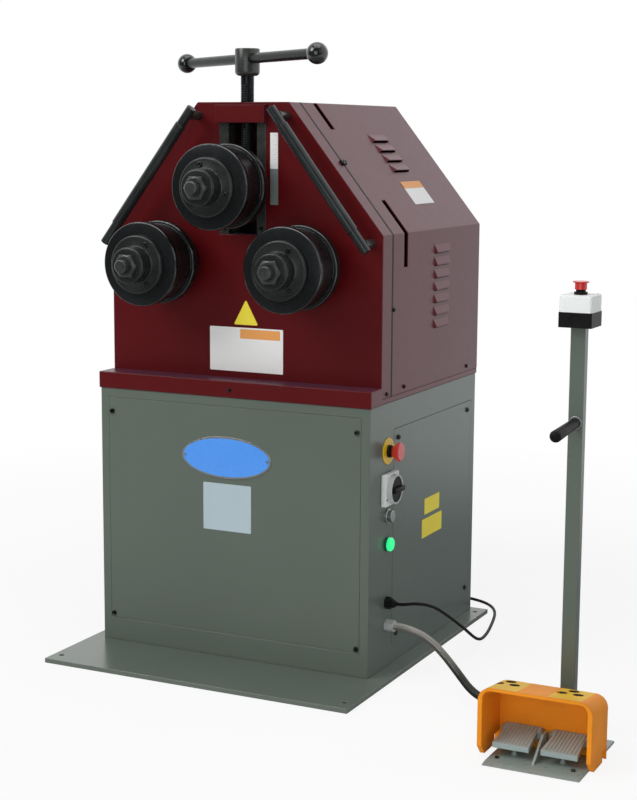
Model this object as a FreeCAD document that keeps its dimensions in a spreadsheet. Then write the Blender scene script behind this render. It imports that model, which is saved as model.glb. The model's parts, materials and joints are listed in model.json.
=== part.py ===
"""Three-roller ring bending machine with its foot station, as a parametric document.

Frame: X to the right along the front, Y to the back, Z up. The origin is on the floor,
under the middle of the cabinet. Sizes are in millimetres.
"""
import FreeCAD, Part
import Sketcher
import math
import os
import re

os.makedirs("parts", exist_ok=True)
Vector = FreeCAD.Vector
Rotation = FreeCAD.Rotation
Placement = FreeCAD.Placement

doc = FreeCAD.newDocument("RingRoller")
sheet = doc.addObject("Spreadsheet::Sheet", "Sizes")

SIZES = {
    # base plate and cabinet
    "cut_margin": 1, "seat_gap": 0.1, "plate_thickness": 10, "left_overhang": 30, "right_overhang": 41,
    "front_overhang": 189,
    "rear_overhang": 8, "anchor_inset": 20, "anchor_setback": 35, "anchor_radius": 5.5,
    "cabinet_width": 650, "cabinet_depth": 600, "cabinet_height": 570, "cabinet_wall": 4,
    "panel_thickness": 2, "panel_gap": 0.5, "panel_seat": 14, "front_panel_inset": 20,
    "front_panel_low": 51, "front_panel_head": 20, "side_panel_front": 123,
    "side_panel_rear": 26, "side_panel_low": 40, "side_panel_head": 60,
    "motor_well": 220,
    # head
    "plinth_height": 12, "apron_height": 35.5, "apron_lip": 3, "face_setback": 54.4,
    "rim_depth": 50.6, "face_thickness": 28, "rim_wall": 14, "head_height": 606,
    "shoulder_height": 337, "head_top_width": 217, "head_corner": 5, "cover_wall": 3,
    "cover_overlap": 0.3, "cover_proud": 0.7,
    "way_width": 109.6, "way_rise": 60, "bridge_drop": 42.5, "bridge_height": 37,
    "bridge_width": 119, "bridge_proud": 16.4, "slot_width": 68, "rail_depth": 34.6,
    "cheek_wall": 17, "cheek_depth": 53.6, "way_back_wall": 5, "way_back_gap": 0.6,
    "way_back_lift": 6,
    # rear cover louvres and slots
    "louvre_front": 30, "louvre_length": 88, "louvre_height": 22, "side_louvre_height": 19.8,
    "louvre_rise": 9,
    "louvre_pitch": 27.3, "slope_louvre_start": 83, "side_louvre_start": 31,
    "slope_louvre_count": 4, "side_louvre_count": 7,
    "slot_middle": 126, "slot_opening": 19, "upper_slot": 71, "lower_slot_start": 259,
    "side_slot": 71,
    # rollers and shafts
    "top_roller_lift": 162.6, "low_roller_rise": 270, "gear_module": 4.5,
    "gear_teeth": 50, "pinion_teeth": 24, "gear_width": 30, "tooth_backlash": 1,
    "roller_gap": 51.4, "roller_width": 92, "ring_thickness": 20, "ring_radius": 88,
    "drum_radius": 81, "ring_edge": 2.5, "disc_radius": 61.5, "disc_thickness": 16,
    "boss_radius": 38, "boss_length": 33.7, "boss_edge": 4, "disc_bolt_radius": 48,
    "top_bolt_angle": 104, "left_bolt_angle": 60, "right_bolt_angle": 62,
    "bolt_count": 3, "bolt_sink_radius": 7, "bolt_sink_depth": 9, "nut_flats": 46, "nut_height": 10.3,
    "stud_radius": 14, "stud_reach": 17, "stud_edge": 2, "shoulder_gap": 1,
    "core_radius": 20, "shaft_radius": 22.5,
    "shoulder_radius": 35, "bearing_radius": 60, "bearing_body": 50, "bearing_flange": 14,
    "bearing_edge": 3, "bearing_length": 67.6, "gear_gap": 4, "rear_plate_gap": 18,
    "rear_plate_wall": 18, "rear_plate_half": 98, "pillar_offset": 107.5, "pillar_rise": 80,
    "pillar_radius": 14, "pillar_margin": 18, "pinion_boss": 6, "fit_gap": 0.05, "face_gap": 0.3,
    # slide, screw and handle
    "slide_height": 100, "screw_radius": 14, "screw_setback": 21.6, "screw_hold": 20,
    "nut_wall": 7, "hub_radius": 26, "hub_below": 35.5, "hub_height": 56.5, "hub_edge": 8,
    "turned_edge": 2, "bar_radius": 10.75, "bar_rise": 95, "bar_half": 302, "bar_angle": -35,
    "ball_radius": 21.5,
    # gearmotor
    "box_width": 170, "box_height": 150, "box_depth": 120, "motor_radius": 88,
    "motor_length": 270, "motor_flange": 12, "motor_neck_radius": 48,
    "motor_neck_length": 36, "motor_body_radius": 79, "fin_length": 216, "fin_low_end": 230,
    "fin_width": 4, "fin_count": 12,
    # guide rods and depth scale
    "rod_standoff": 51.4, "rod_radius": 11.8, "rod_end_radius": 10, "rod_top_inset": 15.5,
    "rod_top_drop": 13, "rod_low_inset": 13.4, "rod_low_drop": 31, "rod_top_neck": 44,
    "rod_low_neck": 52, "standoff_radius": 9, "standoff_inset": 19,
    "scale_inset": 11.6, "scale_width": 18, "scale_lift": 64, "scale_head_gap": 20.5,
    "scale_thickness": 1.5,
    # controls on the right side
    "control_setback": 92, "stop_spacing": 79.5, "ring_plate_radius": 30,
    "ring_plate_thickness": 2.5, "collar_radius": 13.5, "collar_length": 6,
    "stem_radius": 11, "stem_step": 4, "head_radius": 20, "head_length": 18, "head_neck": 12.4,
    "head_flare": 10.8, "head_edge": 2.5, "press_travel": 4,
    "switch_height": 399, "switch_size": 68, "switch_depth": 12, "knob_radius": 30,
    "knob_length": 10, "knob_edge": 3, "grip_bar_length": 56, "grip_bar_width": 10, "grip_bar_rise": 8,
    "button_spacing": 59, "lamp_spacing": 61, "bezel_radius": 15, "bezel_bore": 12.8,
    "bezel_thickness": 5, "control_edge": 1, "button_radius": 12.5, "button_proud": 14, "button_travel": 3,
    "lamp_radius": 14.5, "lamp_neck": 12.5, "lamp_proud": 13, "lamp_edge": 2.5,
    "mains_spacing": 49, "mains_setback": 93, "gland_flats": 24, "gland_nut": 11,
    "relief_length": 14, "relief_land": 6, "relief_radius": 9.5, "relief_tip": 4.8,
    "hose_height": 102, "hose_gland_flats": 23, "hose_gland_length": 20,
    # cords
    "lead_diameter": 7, "hose_diameter": 16.5, "coil_inset": 110, "coil_setback": 75,
    "coil_middle": 38.5, "coil_layers": 3, "coil_height": 14, "coil_lap": 1.4, "coil_side": 6.3,
    "plug_radius": 17, "plug_length": 36, "plug_relief": 24, "plug_flare": 3, "plug_edge": 5,
    "plug_shoulder": 13.6,
    "plug_offset": 31.5, "pin_radius": 2.4, "pin_length": 19, "pin_spacing": 19,
    # foot station
    "station_gap": 375, "station_middle": 95, "station_plate_width": 184,
    "station_front_gap": 325, "station_plate_depth": 221, "station_plate_wall": 4,
    "station_lip": 18, "lip_thickness": 1, "station_screw_setback": 38, "station_screw_inset": 16,
    "station_screw_far": 23, "station_screw_radius": 3.5,
    "guard_side_proud": 20, "guard_width": 217, "guard_setback": 27, "guard_depth": 108,
    "guard_height": 138, "guard_rear_height": 124, "guard_wall": 9, "guard_back_wall": 12,
    "guard_roof": 6, "guard_margin": 10, "guard_corner": 25, "guard_rear_corner": 13,
    "guard_inner_corner": 16,
    "guard_tip_rise": 6, "guard_tip_back": 18, "guard_tip_land": 52, "guard_side_rise": 26,
    "guard_hole_radius": 10, "guard_hole_spread": 15.5, "guard_hole_front": 5, "guard_hole_rear": 30,
    "guard_hole_left": 34.7,
    "guard_hole_right": 156.2, "guard_gland_inset": 31.2,
    "guard_gland_rise": 33.8,
    "pedal_inset": 4.5, "pedal_spacing": 92.5, "pedal_width": 70, "pedal_setback": 43,
    "pedal_length": 79, "pedal_front_height": 31, "pedal_back_height": 45,
    "pedal_thickness": 10, "pedal_taper": 5, "pedal_rib_height": 1.2, "pedal_rib_width": 2.2,
    "pedal_rib_inset": 3, "pedal_ribs": 9,
    "pin_setback": 8.5, "pedal_pin_height": 31, "pedal_pin_radius": 4,
    "pedal_barrel": 8, "lug_wall": 4, "lug_height": 40, "bumper_setback": 25,
    "bumper_radius": 7, "bumper_tip": 2, "bumper_height": 12,
    "divider_wall": 5, "divider_height": 40, "divider_length": 110, "divider_crest": 24,
    "divider_toe": 12, "divider_tip": 18, "divider_offset": 11,
    "post_width": 28, "post_depth": 20, "post_wall": 2, "post_setback": 201, "post_top": 787,
    "grip_drop": 178, "grip_radius": 11.2, "grip_length": 124, "grip_ring_radius": 11.6,
    "grip_ring_thickness": 4, "grip_edge": 7, "grip_tilt": 3.5,
    "box_size": 63, "box_base_height": 28, "box_cover_height": 31, "knockout_radius": 11,
    "knockout_depth": 1.5, "neck_radius": 12.5, "neck_height": 5, "neck_sink": 8, "waist_radius": 9,
    "waist_step": 3, "station_head_radius": 15.2, "station_head_height": 15,
    "station_head_neck": 11, "station_head_flare": 11.3, "station_head_rim": 13, "station_head_edge": 1,
}
DERIVED = {
    "head_floor": "plate_thickness + cabinet_height + plinth_height",
    "face_depth": "cabinet_depth / 2 - face_setback",
    "cover_depth": "cabinet_depth / 2 + rear_overhang + face_depth - rim_depth"
                   " - cover_overlap + cover_proud",
    "front_panel_rise": "cabinet_height - front_panel_low - front_panel_head",
    "side_panel_length": "cabinet_depth - side_panel_front - side_panel_rear",
    "side_panel_rise": "cabinet_height - side_panel_low - side_panel_head",
    "low_roller_height": "head_floor + low_roller_rise",
    "top_roller_height": "low_roller_height + top_roller_lift",
    "way_bottom": "low_roller_height + way_rise",
    "bridge_bottom": "head_floor + head_height - bridge_drop",
    "cheek_back": "face_depth - face_thickness - cheek_depth",
    "bearing_back": "face_depth - bearing_length",
    "gear_front": "cheek_back - gear_gap",
    "rear_plate_front": "gear_front - gear_width - rear_plate_gap",
    "bar_height": "bridge_bottom + bridge_height + bar_rise",
    "hub_bottom": "bar_height - hub_below",
    "rod_top_x": "head_top_width / 2 - rod_top_inset",
    "rod_top_z": "head_floor + head_height - rod_top_drop",
    "rod_low_x": "cabinet_width / 2 - rod_low_inset",
    "rod_low_z": "head_floor + shoulder_height - rod_low_drop",
    "scale_left": "way_width / 2 + scale_inset",
    "scale_bottom": "way_bottom + scale_lift",
    "scale_height": "bridge_bottom - scale_bottom - scale_head_gap",
    "control_line": "cabinet_depth / 2 - control_setback",
    "stop_height": "switch_height + stop_spacing",
    "button_height": "switch_height - button_spacing",
    "lamp_height": "button_height - lamp_spacing",
    "mains_line": "cabinet_depth / 2 - mains_setback",
    "mains_height": "hose_height + mains_spacing",
    "coil_x": "cabinet_width / 2 - coil_inset",
    "coil_y": "cabinet_depth / 2 + coil_setback",
    "station_plate_left": "cabinet_width / 2 + station_gap",
    "station_x": "station_plate_left + station_middle",
    "station_plate_front": "cabinet_depth / 2 + station_front_gap",
    "guard_left": "station_plate_left - guard_side_proud",
    "guard_front": "station_plate_front - guard_setback",
    "pedal_left_x": "station_plate_left + pedal_inset",
    "pedal_right_x": "pedal_left_x + pedal_spacing",
    "pedal_front": "station_plate_front - pedal_setback",
    "pedal_back": "pedal_front - pedal_length",
    "pedal_pin_line": "pedal_back + pin_setback",
    "bumper_line": "pedal_front - bumper_setback",
    "divider_back": "station_plate_front - divider_length",
    "post_front": "station_plate_front - post_setback",
    "grip_height": "post_top - grip_drop",
}
for row, (alias, value) in enumerate((SIZES | DERIVED).items(), start=1):
    sheet.set(f"A{row}", alias)
    sheet.set(f"B{row}", "=" + str(value))
    sheet.setAlias(f"B{row}", alias)
    doc.recompute()

NODES = []
SAME_PLACE = 0.01
BEND_SHARE = 0.45
DEDENDUM = 1.25
PRESSURE_ANGLE = 20


def bound(expression):
    """Point each size named in an expression at its cell of the sheet."""
    return re.sub(r"\b[a-z]+(?:_[a-z]+)+\b", lambda found: "Sizes." + found.group(0), expression)


def number(expression):
    """The value that an expression of sizes has now."""
    value = sheet.evalExpression(bound(expression))
    return float(getattr(value, "Value", value))


def bind(item, **properties):
    """Tie an object's properties to expressions of the sheet."""
    for name, expression in properties.items():
        item.setExpression(name.replace("__", "."), bound(expression))
    return item


def place(item, x="0", y="0", z="0", turn=None, angle=None):
    """Put an object at a point given by expressions, turned about the axis given by turn."""
    if turn is not None:
        item.Placement.Rotation = Rotation(Vector(*turn), number(angle))
        bind(item, Placement__Rotation__Angle=angle)
    return bind(item, Placement__Base__x=x, Placement__Base__y=y, Placement__Base__z=z)


def box(name, x, y, z, length, width, height):
    """A box from its lowest corner."""
    item = doc.addObject("Part::Box", name)
    return place(bind(item, Length=length, Width=width, Height=height), x, y, z)


def rod(name, x, y, z, radius, length, axis="Z"):
    """A cylinder that starts at a point and runs along +X, +Y or +Z."""
    item = doc.addObject("Part::Cylinder", name)
    bind(item, Radius=radius, Height=length)
    turns = {"X": ((0, 1, 0), "90"), "Y": ((1, 0, 0), "-90"), "Z": (None, None)}
    return place(item, x, y, z, *turns[axis])


def cut(name, base, *tools):
    """A piece less its tools."""
    if len(tools) > 1:
        tools = (fuse(name + "_tools", *tools),)
    item = doc.addObject("Part::Cut", name)
    item.Base = base
    item.Tool = tools[0]
    return item


def fuse(name, *pieces):
    """Pieces joined in one."""
    item = doc.addObject("Part::MultiFuse", name)
    item.Shapes = list(pieces)
    return item


def group(name, *pieces):
    """Separate solids kept together under one name."""
    item = doc.addObject("Part::Compound", name)
    item.Links = list(pieces)
    return item


def mirrored(name, source):
    """The same piece on the other side of the machine's middle plane."""
    item = doc.addObject("Part::Mirroring", name)
    item.Source = source
    item.Normal = (1, 0, 0)
    return item


def draw(body, role, outlines):
    """A sketch of closed outlines, each corner held by two dimensions from the origin."""
    plane = [feature for feature in body.Origin.OriginFeatures if feature.Role == role][0]
    sketch = body.newObject("Sketcher::SketchObject", body.Name + "_sketch")
    sketch.AttachmentSupport = [(plane, "")]
    sketch.MapMode = "FlatFace"
    for corners in outlines:
        first = sketch.GeometryCount
        count = len(corners)
        spots = [Vector(number(across), number(up), 0) for across, up in corners]
        for side in range(count):
            sketch.addGeometry(Part.LineSegment(spots[side], spots[(side + 1) % count]), False)
        for side in range(count):
            following = first + (side + 1) % count
            sketch.addConstraint(Sketcher.Constraint("Coincident", first + side, 2, following, 1))
        for side, (across, up) in enumerate(corners):
            for kind, size, place_now in (("DistanceX", across, spots[side].x), ("DistanceY", up,
                    spots[side].y)):
                held = sketch.addConstraint(Sketcher.Constraint(kind, -1, 1, first + side, 1, place_now))
                sketch.setExpression(f"Constraints[{held}]", bound(size))
    return sketch


def prism(name, role, outlines, depth, reverse=False):
    """A body padded from outlines. On the XZ plane it grows towards the front, on YZ to the right."""
    body = doc.addObject("PartDesign::Body", name)
    sketch = draw(body, role, outlines)
    pad = body.newObject("PartDesign::Pad", name + "_pad")
    pad.Profile = sketch
    pad.Reversed = reverse
    bind(pad, Length=depth)
    doc.recompute()
    return body


def turned(name, profile, axis="Y"):
    """A body revolved about its own X, Y or Z axis from corners (radius, distance along)."""
    body = doc.addObject("PartDesign::Body", name)
    if axis == "X":
        profile = [(along, radius) for radius, along in profile]
    sketch = draw(body, "XZ_Plane" if axis == "Z" else "XY_Plane", [profile])
    solid = body.newObject("PartDesign::Revolution", name + "_turn")
    solid.Profile = sketch
    solid.ReferenceAxis = (sketch, ["H_Axis" if axis == "X" else "V_Axis"])
    solid.Angle = 360
    doc.recompute()
    return body


def rounded(body, radius, chosen):
    """A fillet on those edges of a body that the test picks."""
    base = body.Tip
    edges = [f"Edge{place + 1}" for place, edge in enumerate(base.Shape.Edges) if chosen(edge)]
    fillet = body.newObject("PartDesign::Fillet", body.Name + "_round")
    fillet.Base = (base, edges)
    bind(fillet, Radius=radius)
    doc.recompute()
    return body


def runs_along(edge, axis):
    """Whether a straight edge lies along X, Y or Z, or at a slight slope to it."""
    run = edge.Vertexes[-1].Point - edge.Vertexes[0].Point
    return abs(getattr(run, axis)) > run.Length * math.cos(math.pi / 18)


def node(item, name):
    """Name a finished sub-part, which is written under that name."""
    item.Label = name
    NODES.append(item)
    return item


# ---------------------------------------------------------------- shared places
cabinet_top = "(plate_thickness + cabinet_height)"
head_bottom = "head_floor"
shoulder = f"({head_bottom} + shoulder_height)"
head_top = f"({head_bottom} + head_height)"
half_width = "(cabinet_width / 2)"
half_top = "(head_top_width / 2)"
rim_back = "(-face_depth + rim_depth)"
slope_angle = f"(atan(({head_top} - {shoulder}) / ({half_width} - {half_top})) / 1 deg)"
slope_length = (
    f"sqrt(({head_top} - {shoulder}) * ({head_top} - {shoulder})"
    f" + ({half_width} - {half_top}) * ({half_width} - {half_top}))"
)
roller_offset = "(gear_module * (gear_teeth + pinion_teeth) / 2)"
roller_back = "(-face_depth - roller_gap)"
roller_front = f"({roller_back} - roller_width)"
disc_front = f"({roller_front} - disc_thickness)"
boss_front = f"({disc_front} - boss_length)"
nut_front = f"({boss_front} - nut_height)"
screw_line = "(-face_depth + screw_setback)"
motor_line = "(-rear_plate_front + rear_plate_wall + box_depth / 2)"
guard_gland_x = "(guard_left + guard_gland_inset)"
guard_gland_y = "(-guard_front + guard_depth)"
guard_gland_z = "guard_gland_rise"


def make_base():
    """Floor plate with an anchor hole in each corner."""
    left = f"(-{half_width} - left_overhang)"
    right = f"({half_width} + right_overhang)"
    front = "(-cabinet_depth / 2 - front_overhang)"
    back = "(cabinet_depth / 2 + rear_overhang)"
    plate = box("base_blank", left, front, "0", f"{right} - {left}", f"{back} - {front}", "plate_thickness")
    holes = []
    for side, x in (("left", f"{left} + anchor_inset"), ("right", f"{right} - anchor_inset")):
        for end, y in (("front", f"{front} + anchor_setback"), ("rear", f"{back} - anchor_setback")):
            holes.append(rod(f"anchor_{side}_{end}", x, y, "-cut_margin", "anchor_radius",
                             "plate_thickness + 2 * cut_margin"))
    node(cut("base", plate, *holes), "base_plate")


def panel_tools(name, face, across_low, across_size, low, rise):
    """The rebate and the opening behind it for one sheet panel, on the face given."""
    tools = []
    for kind, inset, depth in (("rebate", "0", "panel_thickness"), ("opening", "panel_seat",
                                                                    "cabinet_wall + 2 * cut_margin")):
        start = f"{across_low} + {inset}"
        width = f"{across_size} - 2 * {inset}"
        bottom = f"plate_thickness + {low} + {inset}"
        height = f"{rise} - 2 * {inset}"
        title = f"{name}_{kind}"
        if face == "front":
            tools.append(box(title, start, "-cabinet_depth / 2 - cut_margin", bottom, width,
                             f"{depth} + cut_margin", height))
        if face == "back":
            tools.append(box(title, start, f"cabinet_depth / 2 - {depth}", bottom, width,
                             f"{depth} + cut_margin", height))
        if face == "right":
            tools.append(box(title, f"{half_width} - {depth}", start, bottom, f"{depth} + cut_margin",
                             width, height))
        if face == "left":
            tools.append(box(title, f"-{half_width} - cut_margin", start, bottom, f"{depth} + cut_margin",
                             width, height))
    return tools


def make_cabinet():
    """Folded cabinet with flush sheet panels let into its front, sides and back."""
    shell = box("cabinet_shell", f"-{half_width}", "-cabinet_depth / 2", "plate_thickness",
                "cabinet_width", "cabinet_depth", "cabinet_height")
    inside = box("cabinet_inside", f"-{half_width} + cabinet_wall", "-cabinet_depth / 2 + cabinet_wall",
                 "plate_thickness - cut_margin", "cabinet_width - 2 * cabinet_wall",
                 "cabinet_depth - 2 * cabinet_wall", "cabinet_height - cabinet_wall + cut_margin")
    well = box("cabinet_well", "-motor_well / 2", f"{motor_line} - motor_well / 2",
               f"{cabinet_top} - cabinet_wall - cut_margin",
               "motor_well", "motor_well", "cabinet_wall + 2 * cut_margin")
    front_start = f"-{half_width} + front_panel_inset"
    front_size = "cabinet_width - 2 * front_panel_inset"
    side_start = "-cabinet_depth / 2 + side_panel_front"
    tools = [inside, well]
    for face in ("front", "back"):
        tools += panel_tools(f"cabinet_{face}", face, front_start, front_size, "front_panel_low",
                             "front_panel_rise")
    for face in ("left", "right"):
        tools += panel_tools(f"cabinet_{face}", face, side_start, "side_panel_length", "side_panel_low",
                             "side_panel_rise")
    node(cut("cabinet", shell, *tools), "cabinet_frame")

    def across_panel(name, y):
        return box(name, f"{front_start} + panel_gap", y, "plate_thickness + front_panel_low + panel_gap",
                   f"{front_size} - 2 * panel_gap", "panel_thickness", "front_panel_rise - 2 * panel_gap")

    def side_panel(name, x):
        return box(name, x, f"{side_start} + panel_gap", "plate_thickness + side_panel_low + panel_gap",
                   "panel_thickness", "side_panel_length - 2 * panel_gap",
                   "side_panel_rise - 2 * panel_gap")

    node(across_panel("front_sheet", "-cabinet_depth / 2"), "front_panel")
    back = across_panel("back_sheet", "cabinet_depth / 2 - panel_thickness")
    left = side_panel("left_sheet", f"-{half_width}")
    right = side_panel("right_sheet", f"{half_width} - panel_thickness")
    node(group("service_sheets", back, left, right), "service_panels")


def head_outline(inset, drop="0"):
    """Outline of the head, seen from the front, moved inwards all round and down at its foot."""
    tangent = f"tan({slope_angle} / 2)"
    lower = f"({half_width} - {inset})"
    side = f"({shoulder} - {inset} * tan((90 - {slope_angle}) / 2))"
    top_half = f"({half_top} - {inset} * {tangent})"
    top = f"({head_top} - {inset})"
    foot = f"({head_bottom} - {drop})"
    return [(f"-{lower}", foot), (lower, foot), (lower, side), (top_half, top),
            (f"-{top_half}", top), (f"-{lower}", side)]


def make_head():
    """Plinth, front plate with its rim and slideway, bridge, rails."""
    plinth = box("plinth", f"-{half_width}", "-cabinet_depth / 2", cabinet_top, "cabinet_width",
                 "cabinet_depth + rear_overhang", "plinth_height")
    apron = box("apron", f"-{half_width} - apron_lip", "-cabinet_depth / 2 - apron_lip", cabinet_top,
                "cabinet_width + 2 * apron_lip", "cabinet_depth / 2 + apron_lip - face_depth",
                "apron_height")
    well = box("plinth_well", "-motor_well / 2", f"{motor_line} - motor_well / 2",
               f"{cabinet_top} - cut_margin",
               "motor_well", "motor_well", "plinth_height + 2 * cut_margin")
    node(cut("head_foot", fuse("head_foot_blank", plinth, apron), well), "head_base")

    blank = prism("face_blank", "XZ_Plane", [head_outline("0")], "rim_depth")
    rounded(blank, "head_corner", lambda edge: runs_along(edge, "y")
            and edge.CenterOfMass.z > number(head_bottom) + SAME_PLACE)
    place(blank, y=rim_back)
    hollow = prism("face_hollow", "XZ_Plane", [head_outline("rim_wall")],
                   "rim_depth - face_thickness + cut_margin")
    place(hollow, y=f"{rim_back} + cut_margin")
    way = box("way_opening", "-way_width / 2", "-face_depth - cut_margin", "way_bottom", "way_width",
              "face_thickness + 2 * cut_margin", "bridge_bottom + bridge_height - way_bottom")
    notch = box("bridge_notch", "-bridge_width / 2", "-face_depth - cut_margin", "bridge_bottom",
                "bridge_width",
                "rim_depth + 2 * cut_margin", "bridge_height")
    screw_hole = rod("screw_hole", "0", screw_line, "bridge_bottom + bridge_height - cut_margin",
                     "screw_radius + nut_wall", f"{head_top} - bridge_bottom")
    tools = [hollow, way, notch, screw_hole]
    for side, x in (("left", f"-{roller_offset}"), ("right", roller_offset)):
        tools.append(rod(f"bearing_hole_{side}", x, "-face_depth - cut_margin", "low_roller_height",
                         "bearing_body + fit_gap", "face_thickness + 2 * cut_margin", "Y"))
    plate = cut("face_plate", blank, *tools)
    cheeks = []
    for side, x in (("left", "-way_width / 2 - cheek_wall"), ("right", "way_width / 2")):
        cheeks.append(box(f"cheek_{side}", x, "-face_depth + face_thickness", "way_bottom", "cheek_wall",
                          "cheek_depth", "bridge_bottom - way_bottom"))
    closed_from = f"(low_roller_height + gear_module * (gear_teeth / 2 + 1) + way_back_lift)"
    cheeks.append(box("way_back", "-way_width / 2 - cheek_wall", "-cheek_back", closed_from,
                      "way_width + 2 * cheek_wall", "way_back_wall", f"bridge_bottom - {closed_from}"))
    node(fuse("face_with_cheeks", plate, *cheeks), "head_housing")

    bridge = box("bridge_blank", "-bridge_width / 2 + seat_gap", "-face_depth - bridge_proud",
                 "bridge_bottom", "bridge_width - 2 * seat_gap", "bridge_proud + rim_depth",
                 "bridge_height")
    nut_hole = rod("nut_hole", "0", screw_line, "bridge_bottom - cut_margin",
                   "screw_radius + nut_wall + fit_gap",
                   "bridge_height + 2 * cut_margin")
    node(cut("bridge", bridge, nut_hole), "top_bridge")
    node(turned("threaded_bush", [("screw_radius + fit_gap", "0"), ("screw_radius + nut_wall", "0"),
                                  ("screw_radius + nut_wall", "bridge_height"),
                                  ("screw_radius + fit_gap", "bridge_height")], "Z"), "screw_nut")
    place(NODES[-1], y=screw_line, z="bridge_bottom")

    rails = []
    for side, x in (("left", "-way_width / 2"), ("right", "slot_width / 2")):
        rails.append(box(f"rail_{side}", x, "-face_depth", "way_bottom", "(way_width - slot_width) / 2",
                         "rail_depth", "bridge_bottom - way_bottom"))
    node(group("rails", *rails), "slide_rails")


def louvres(name, start, count, height):
    """Hoods and vents of one row of louvres: X runs down the wall, Z outwards."""
    hoods = []
    vents = []
    for place_in_row in range(round(number(count))):
        top = f"({start} + {place_in_row} * louvre_pitch)"
        lip = f"({top} + {height})"
        hoods.append([(top, "-cover_wall / 2"), (lip, "-cover_wall / 2"), (lip, "louvre_rise"),
                      (f"{lip} - cover_wall", "louvre_rise"), (top, "0")])
        vents.append([(f"{top} + 3 * cover_wall", "-cover_wall * 2"), (f"{lip} + cover_wall / 2",
                "-cover_wall * 2"),
                      (f"{lip} + cover_wall / 2", "louvre_rise - cover_wall"),
                      (f"{lip} - cover_wall", "louvre_rise - cover_wall"), (f"{top} + 3 * cover_wall",
                              "0")])
    hood = prism(name + "_hoods", "XZ_Plane", hoods, "louvre_length")
    vent = prism(name + "_vents", "XZ_Plane", vents, "louvre_length - 2 * cover_wall")
    return hood, vent


def make_cover():
    """Sheet cover behind the head, with louvred and slotted walls."""
    start = f"({rim_back} + cover_overlap)"
    outer = prism("cover_outer", "XZ_Plane", [head_outline("0")], "cover_depth")
    rounded(outer, "head_corner", lambda edge: runs_along(edge, "y")
            and edge.CenterOfMass.z > number(head_bottom) + SAME_PLACE)
    place(outer, y=f"{start} + cover_depth")
    inner = prism("cover_inner", "XZ_Plane", [head_outline("cover_wall", "cut_margin")], "cover_depth")
    place(inner, y=f"{start} + cover_depth - cover_wall")
    hoods = []
    vents = []
    walls = (("slope", slope_angle, half_top, head_top, "slope_louvre_start", "slope_louvre_count",
              "louvre_height"),
             ("side", "90", half_width, shoulder, "side_louvre_start", "side_louvre_count",
              "side_louvre_height"))
    for name, angle, x, z, first, count, height in walls:
        hood, vent = louvres(name, first, count, height)
        place(hood, x, "louvre_front + louvre_length", z, (0, 1, 0), angle)
        place(vent, x, "louvre_front + louvre_length - cover_wall", z, (0, 1, 0), angle)
        hoods += [hood, mirrored(name + "_hoods_left", hood)]
        vents += [vent, mirrored(name + "_vents_left", vent)]
    slots = []
    depth = "6 * cover_wall"
    spans = (("upper_slot", slope_angle, half_top, head_top, "-2 * cover_wall",
              "upper_slot + 2 * cover_wall"),
             ("lower_slot", slope_angle, half_top, head_top, "lower_slot_start",
              f"{slope_length} - lower_slot_start + cover_wall"),
             ("side_slot", "90", half_width, shoulder, "-cover_wall", "side_slot + cover_wall"))
    for name, angle, x, z, first, length in spans:
        opening = box(name + "_cut", "0", "0", "0", length, "slot_opening", depth)
        run = f"cos({angle})"
        rise = f"sin({angle})"
        sink = "3 * cover_wall"
        place(opening, f"{x} + ({first}) * {run} - {sink} * {rise}", "-slot_middle - slot_opening / 2",
              f"{z} - ({first}) * {rise} - {sink} * {run}", (0, 1, 0), angle)
        slots += [opening, mirrored(name + "_cut_left", opening)]
    shell = cut("cover_shell", outer, inner)
    hooded = fuse("cover_hooded", shell, *hoods)
    node(cut("cover_vented", hooded, *vents, *slots), "rear_cover")


def toothed(teeth, face, bore, first_angle):
    """A spur wheel, from its tooth outline by formula: a flank line between root and tip."""
    module = number("gear_module")
    pitch = module * teeth / 2
    root = pitch - DEDENDUM * module
    tip = pitch + module
    gap = number("tooth_backlash") / 2
    half_pitch = (math.pi * module / 4 - gap) / pitch
    half_root = half_pitch + DEDENDUM * module * math.tan(math.radians(PRESSURE_ANGLE)) / root
    half_tip = half_pitch - module * math.tan(math.radians(PRESSURE_ANGLE)) / tip
    corners = []
    for tooth in range(teeth):
        middle = first_angle + tooth * 2 * math.pi / teeth
        for offset, radius in ((-half_root, root), (-half_tip, tip), (half_tip, tip), (half_root, root)):
            corners.append(Vector(radius * math.cos(middle + offset), 0,
                                  radius * math.sin(middle + offset)))
    outline = Part.makePolygon(corners + corners[:1])
    blank = Part.Face(outline).extrude(Vector(0, face, 0))
    margin = number("cut_margin")
    hole = Part.makeCylinder(bore, face + 2 * margin, Vector(0, -margin, 0), Vector(0, 1, 0))
    return blank.cut(hole)


def make_gears():
    """Two driven wheels on the lower shafts and the pinion between them."""
    face = number("gear_width")
    front = number("-gear_front")
    height = number("low_roller_height")
    offset = number(roller_offset)
    bore = number("shaft_radius + fit_gap")
    wheel_teeth = round(number("gear_teeth"))
    pinion_teeth = round(number("pinion_teeth"))
    wheels = (("gear_left", wheel_teeth, -offset, 0.0), ("gear_right", wheel_teeth, offset, math.pi),
              ("drive_pinion", pinion_teeth, 0.0, math.pi / pinion_teeth))
    for name, teeth, x, first_angle in wheels:
        item = doc.addObject("Part::Feature", name + "_wheel")
        item.Shape = toothed(teeth, face, bore, first_angle)
        item.Placement = Placement(Vector(x, front, height), Rotation())
        if name == "drive_pinion":
            stub = rod("pinion_stub", "0", "-gear_front - pinion_boss", "low_roller_height",
                       "shaft_radius + fit_gap",
                       "gear_front + pinion_boss - rear_plate_front - face_gap", "Y")
            tail = rod("pinion_tail", "0", "-gear_front", "low_roller_height", "shaft_radius",
                       "gear_front - rear_plate_front + rear_plate_wall + box_depth / 2 - face_gap", "Y")
            item = fuse("pinion_whole", item, stub, tail)
        node(item, name)


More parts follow.
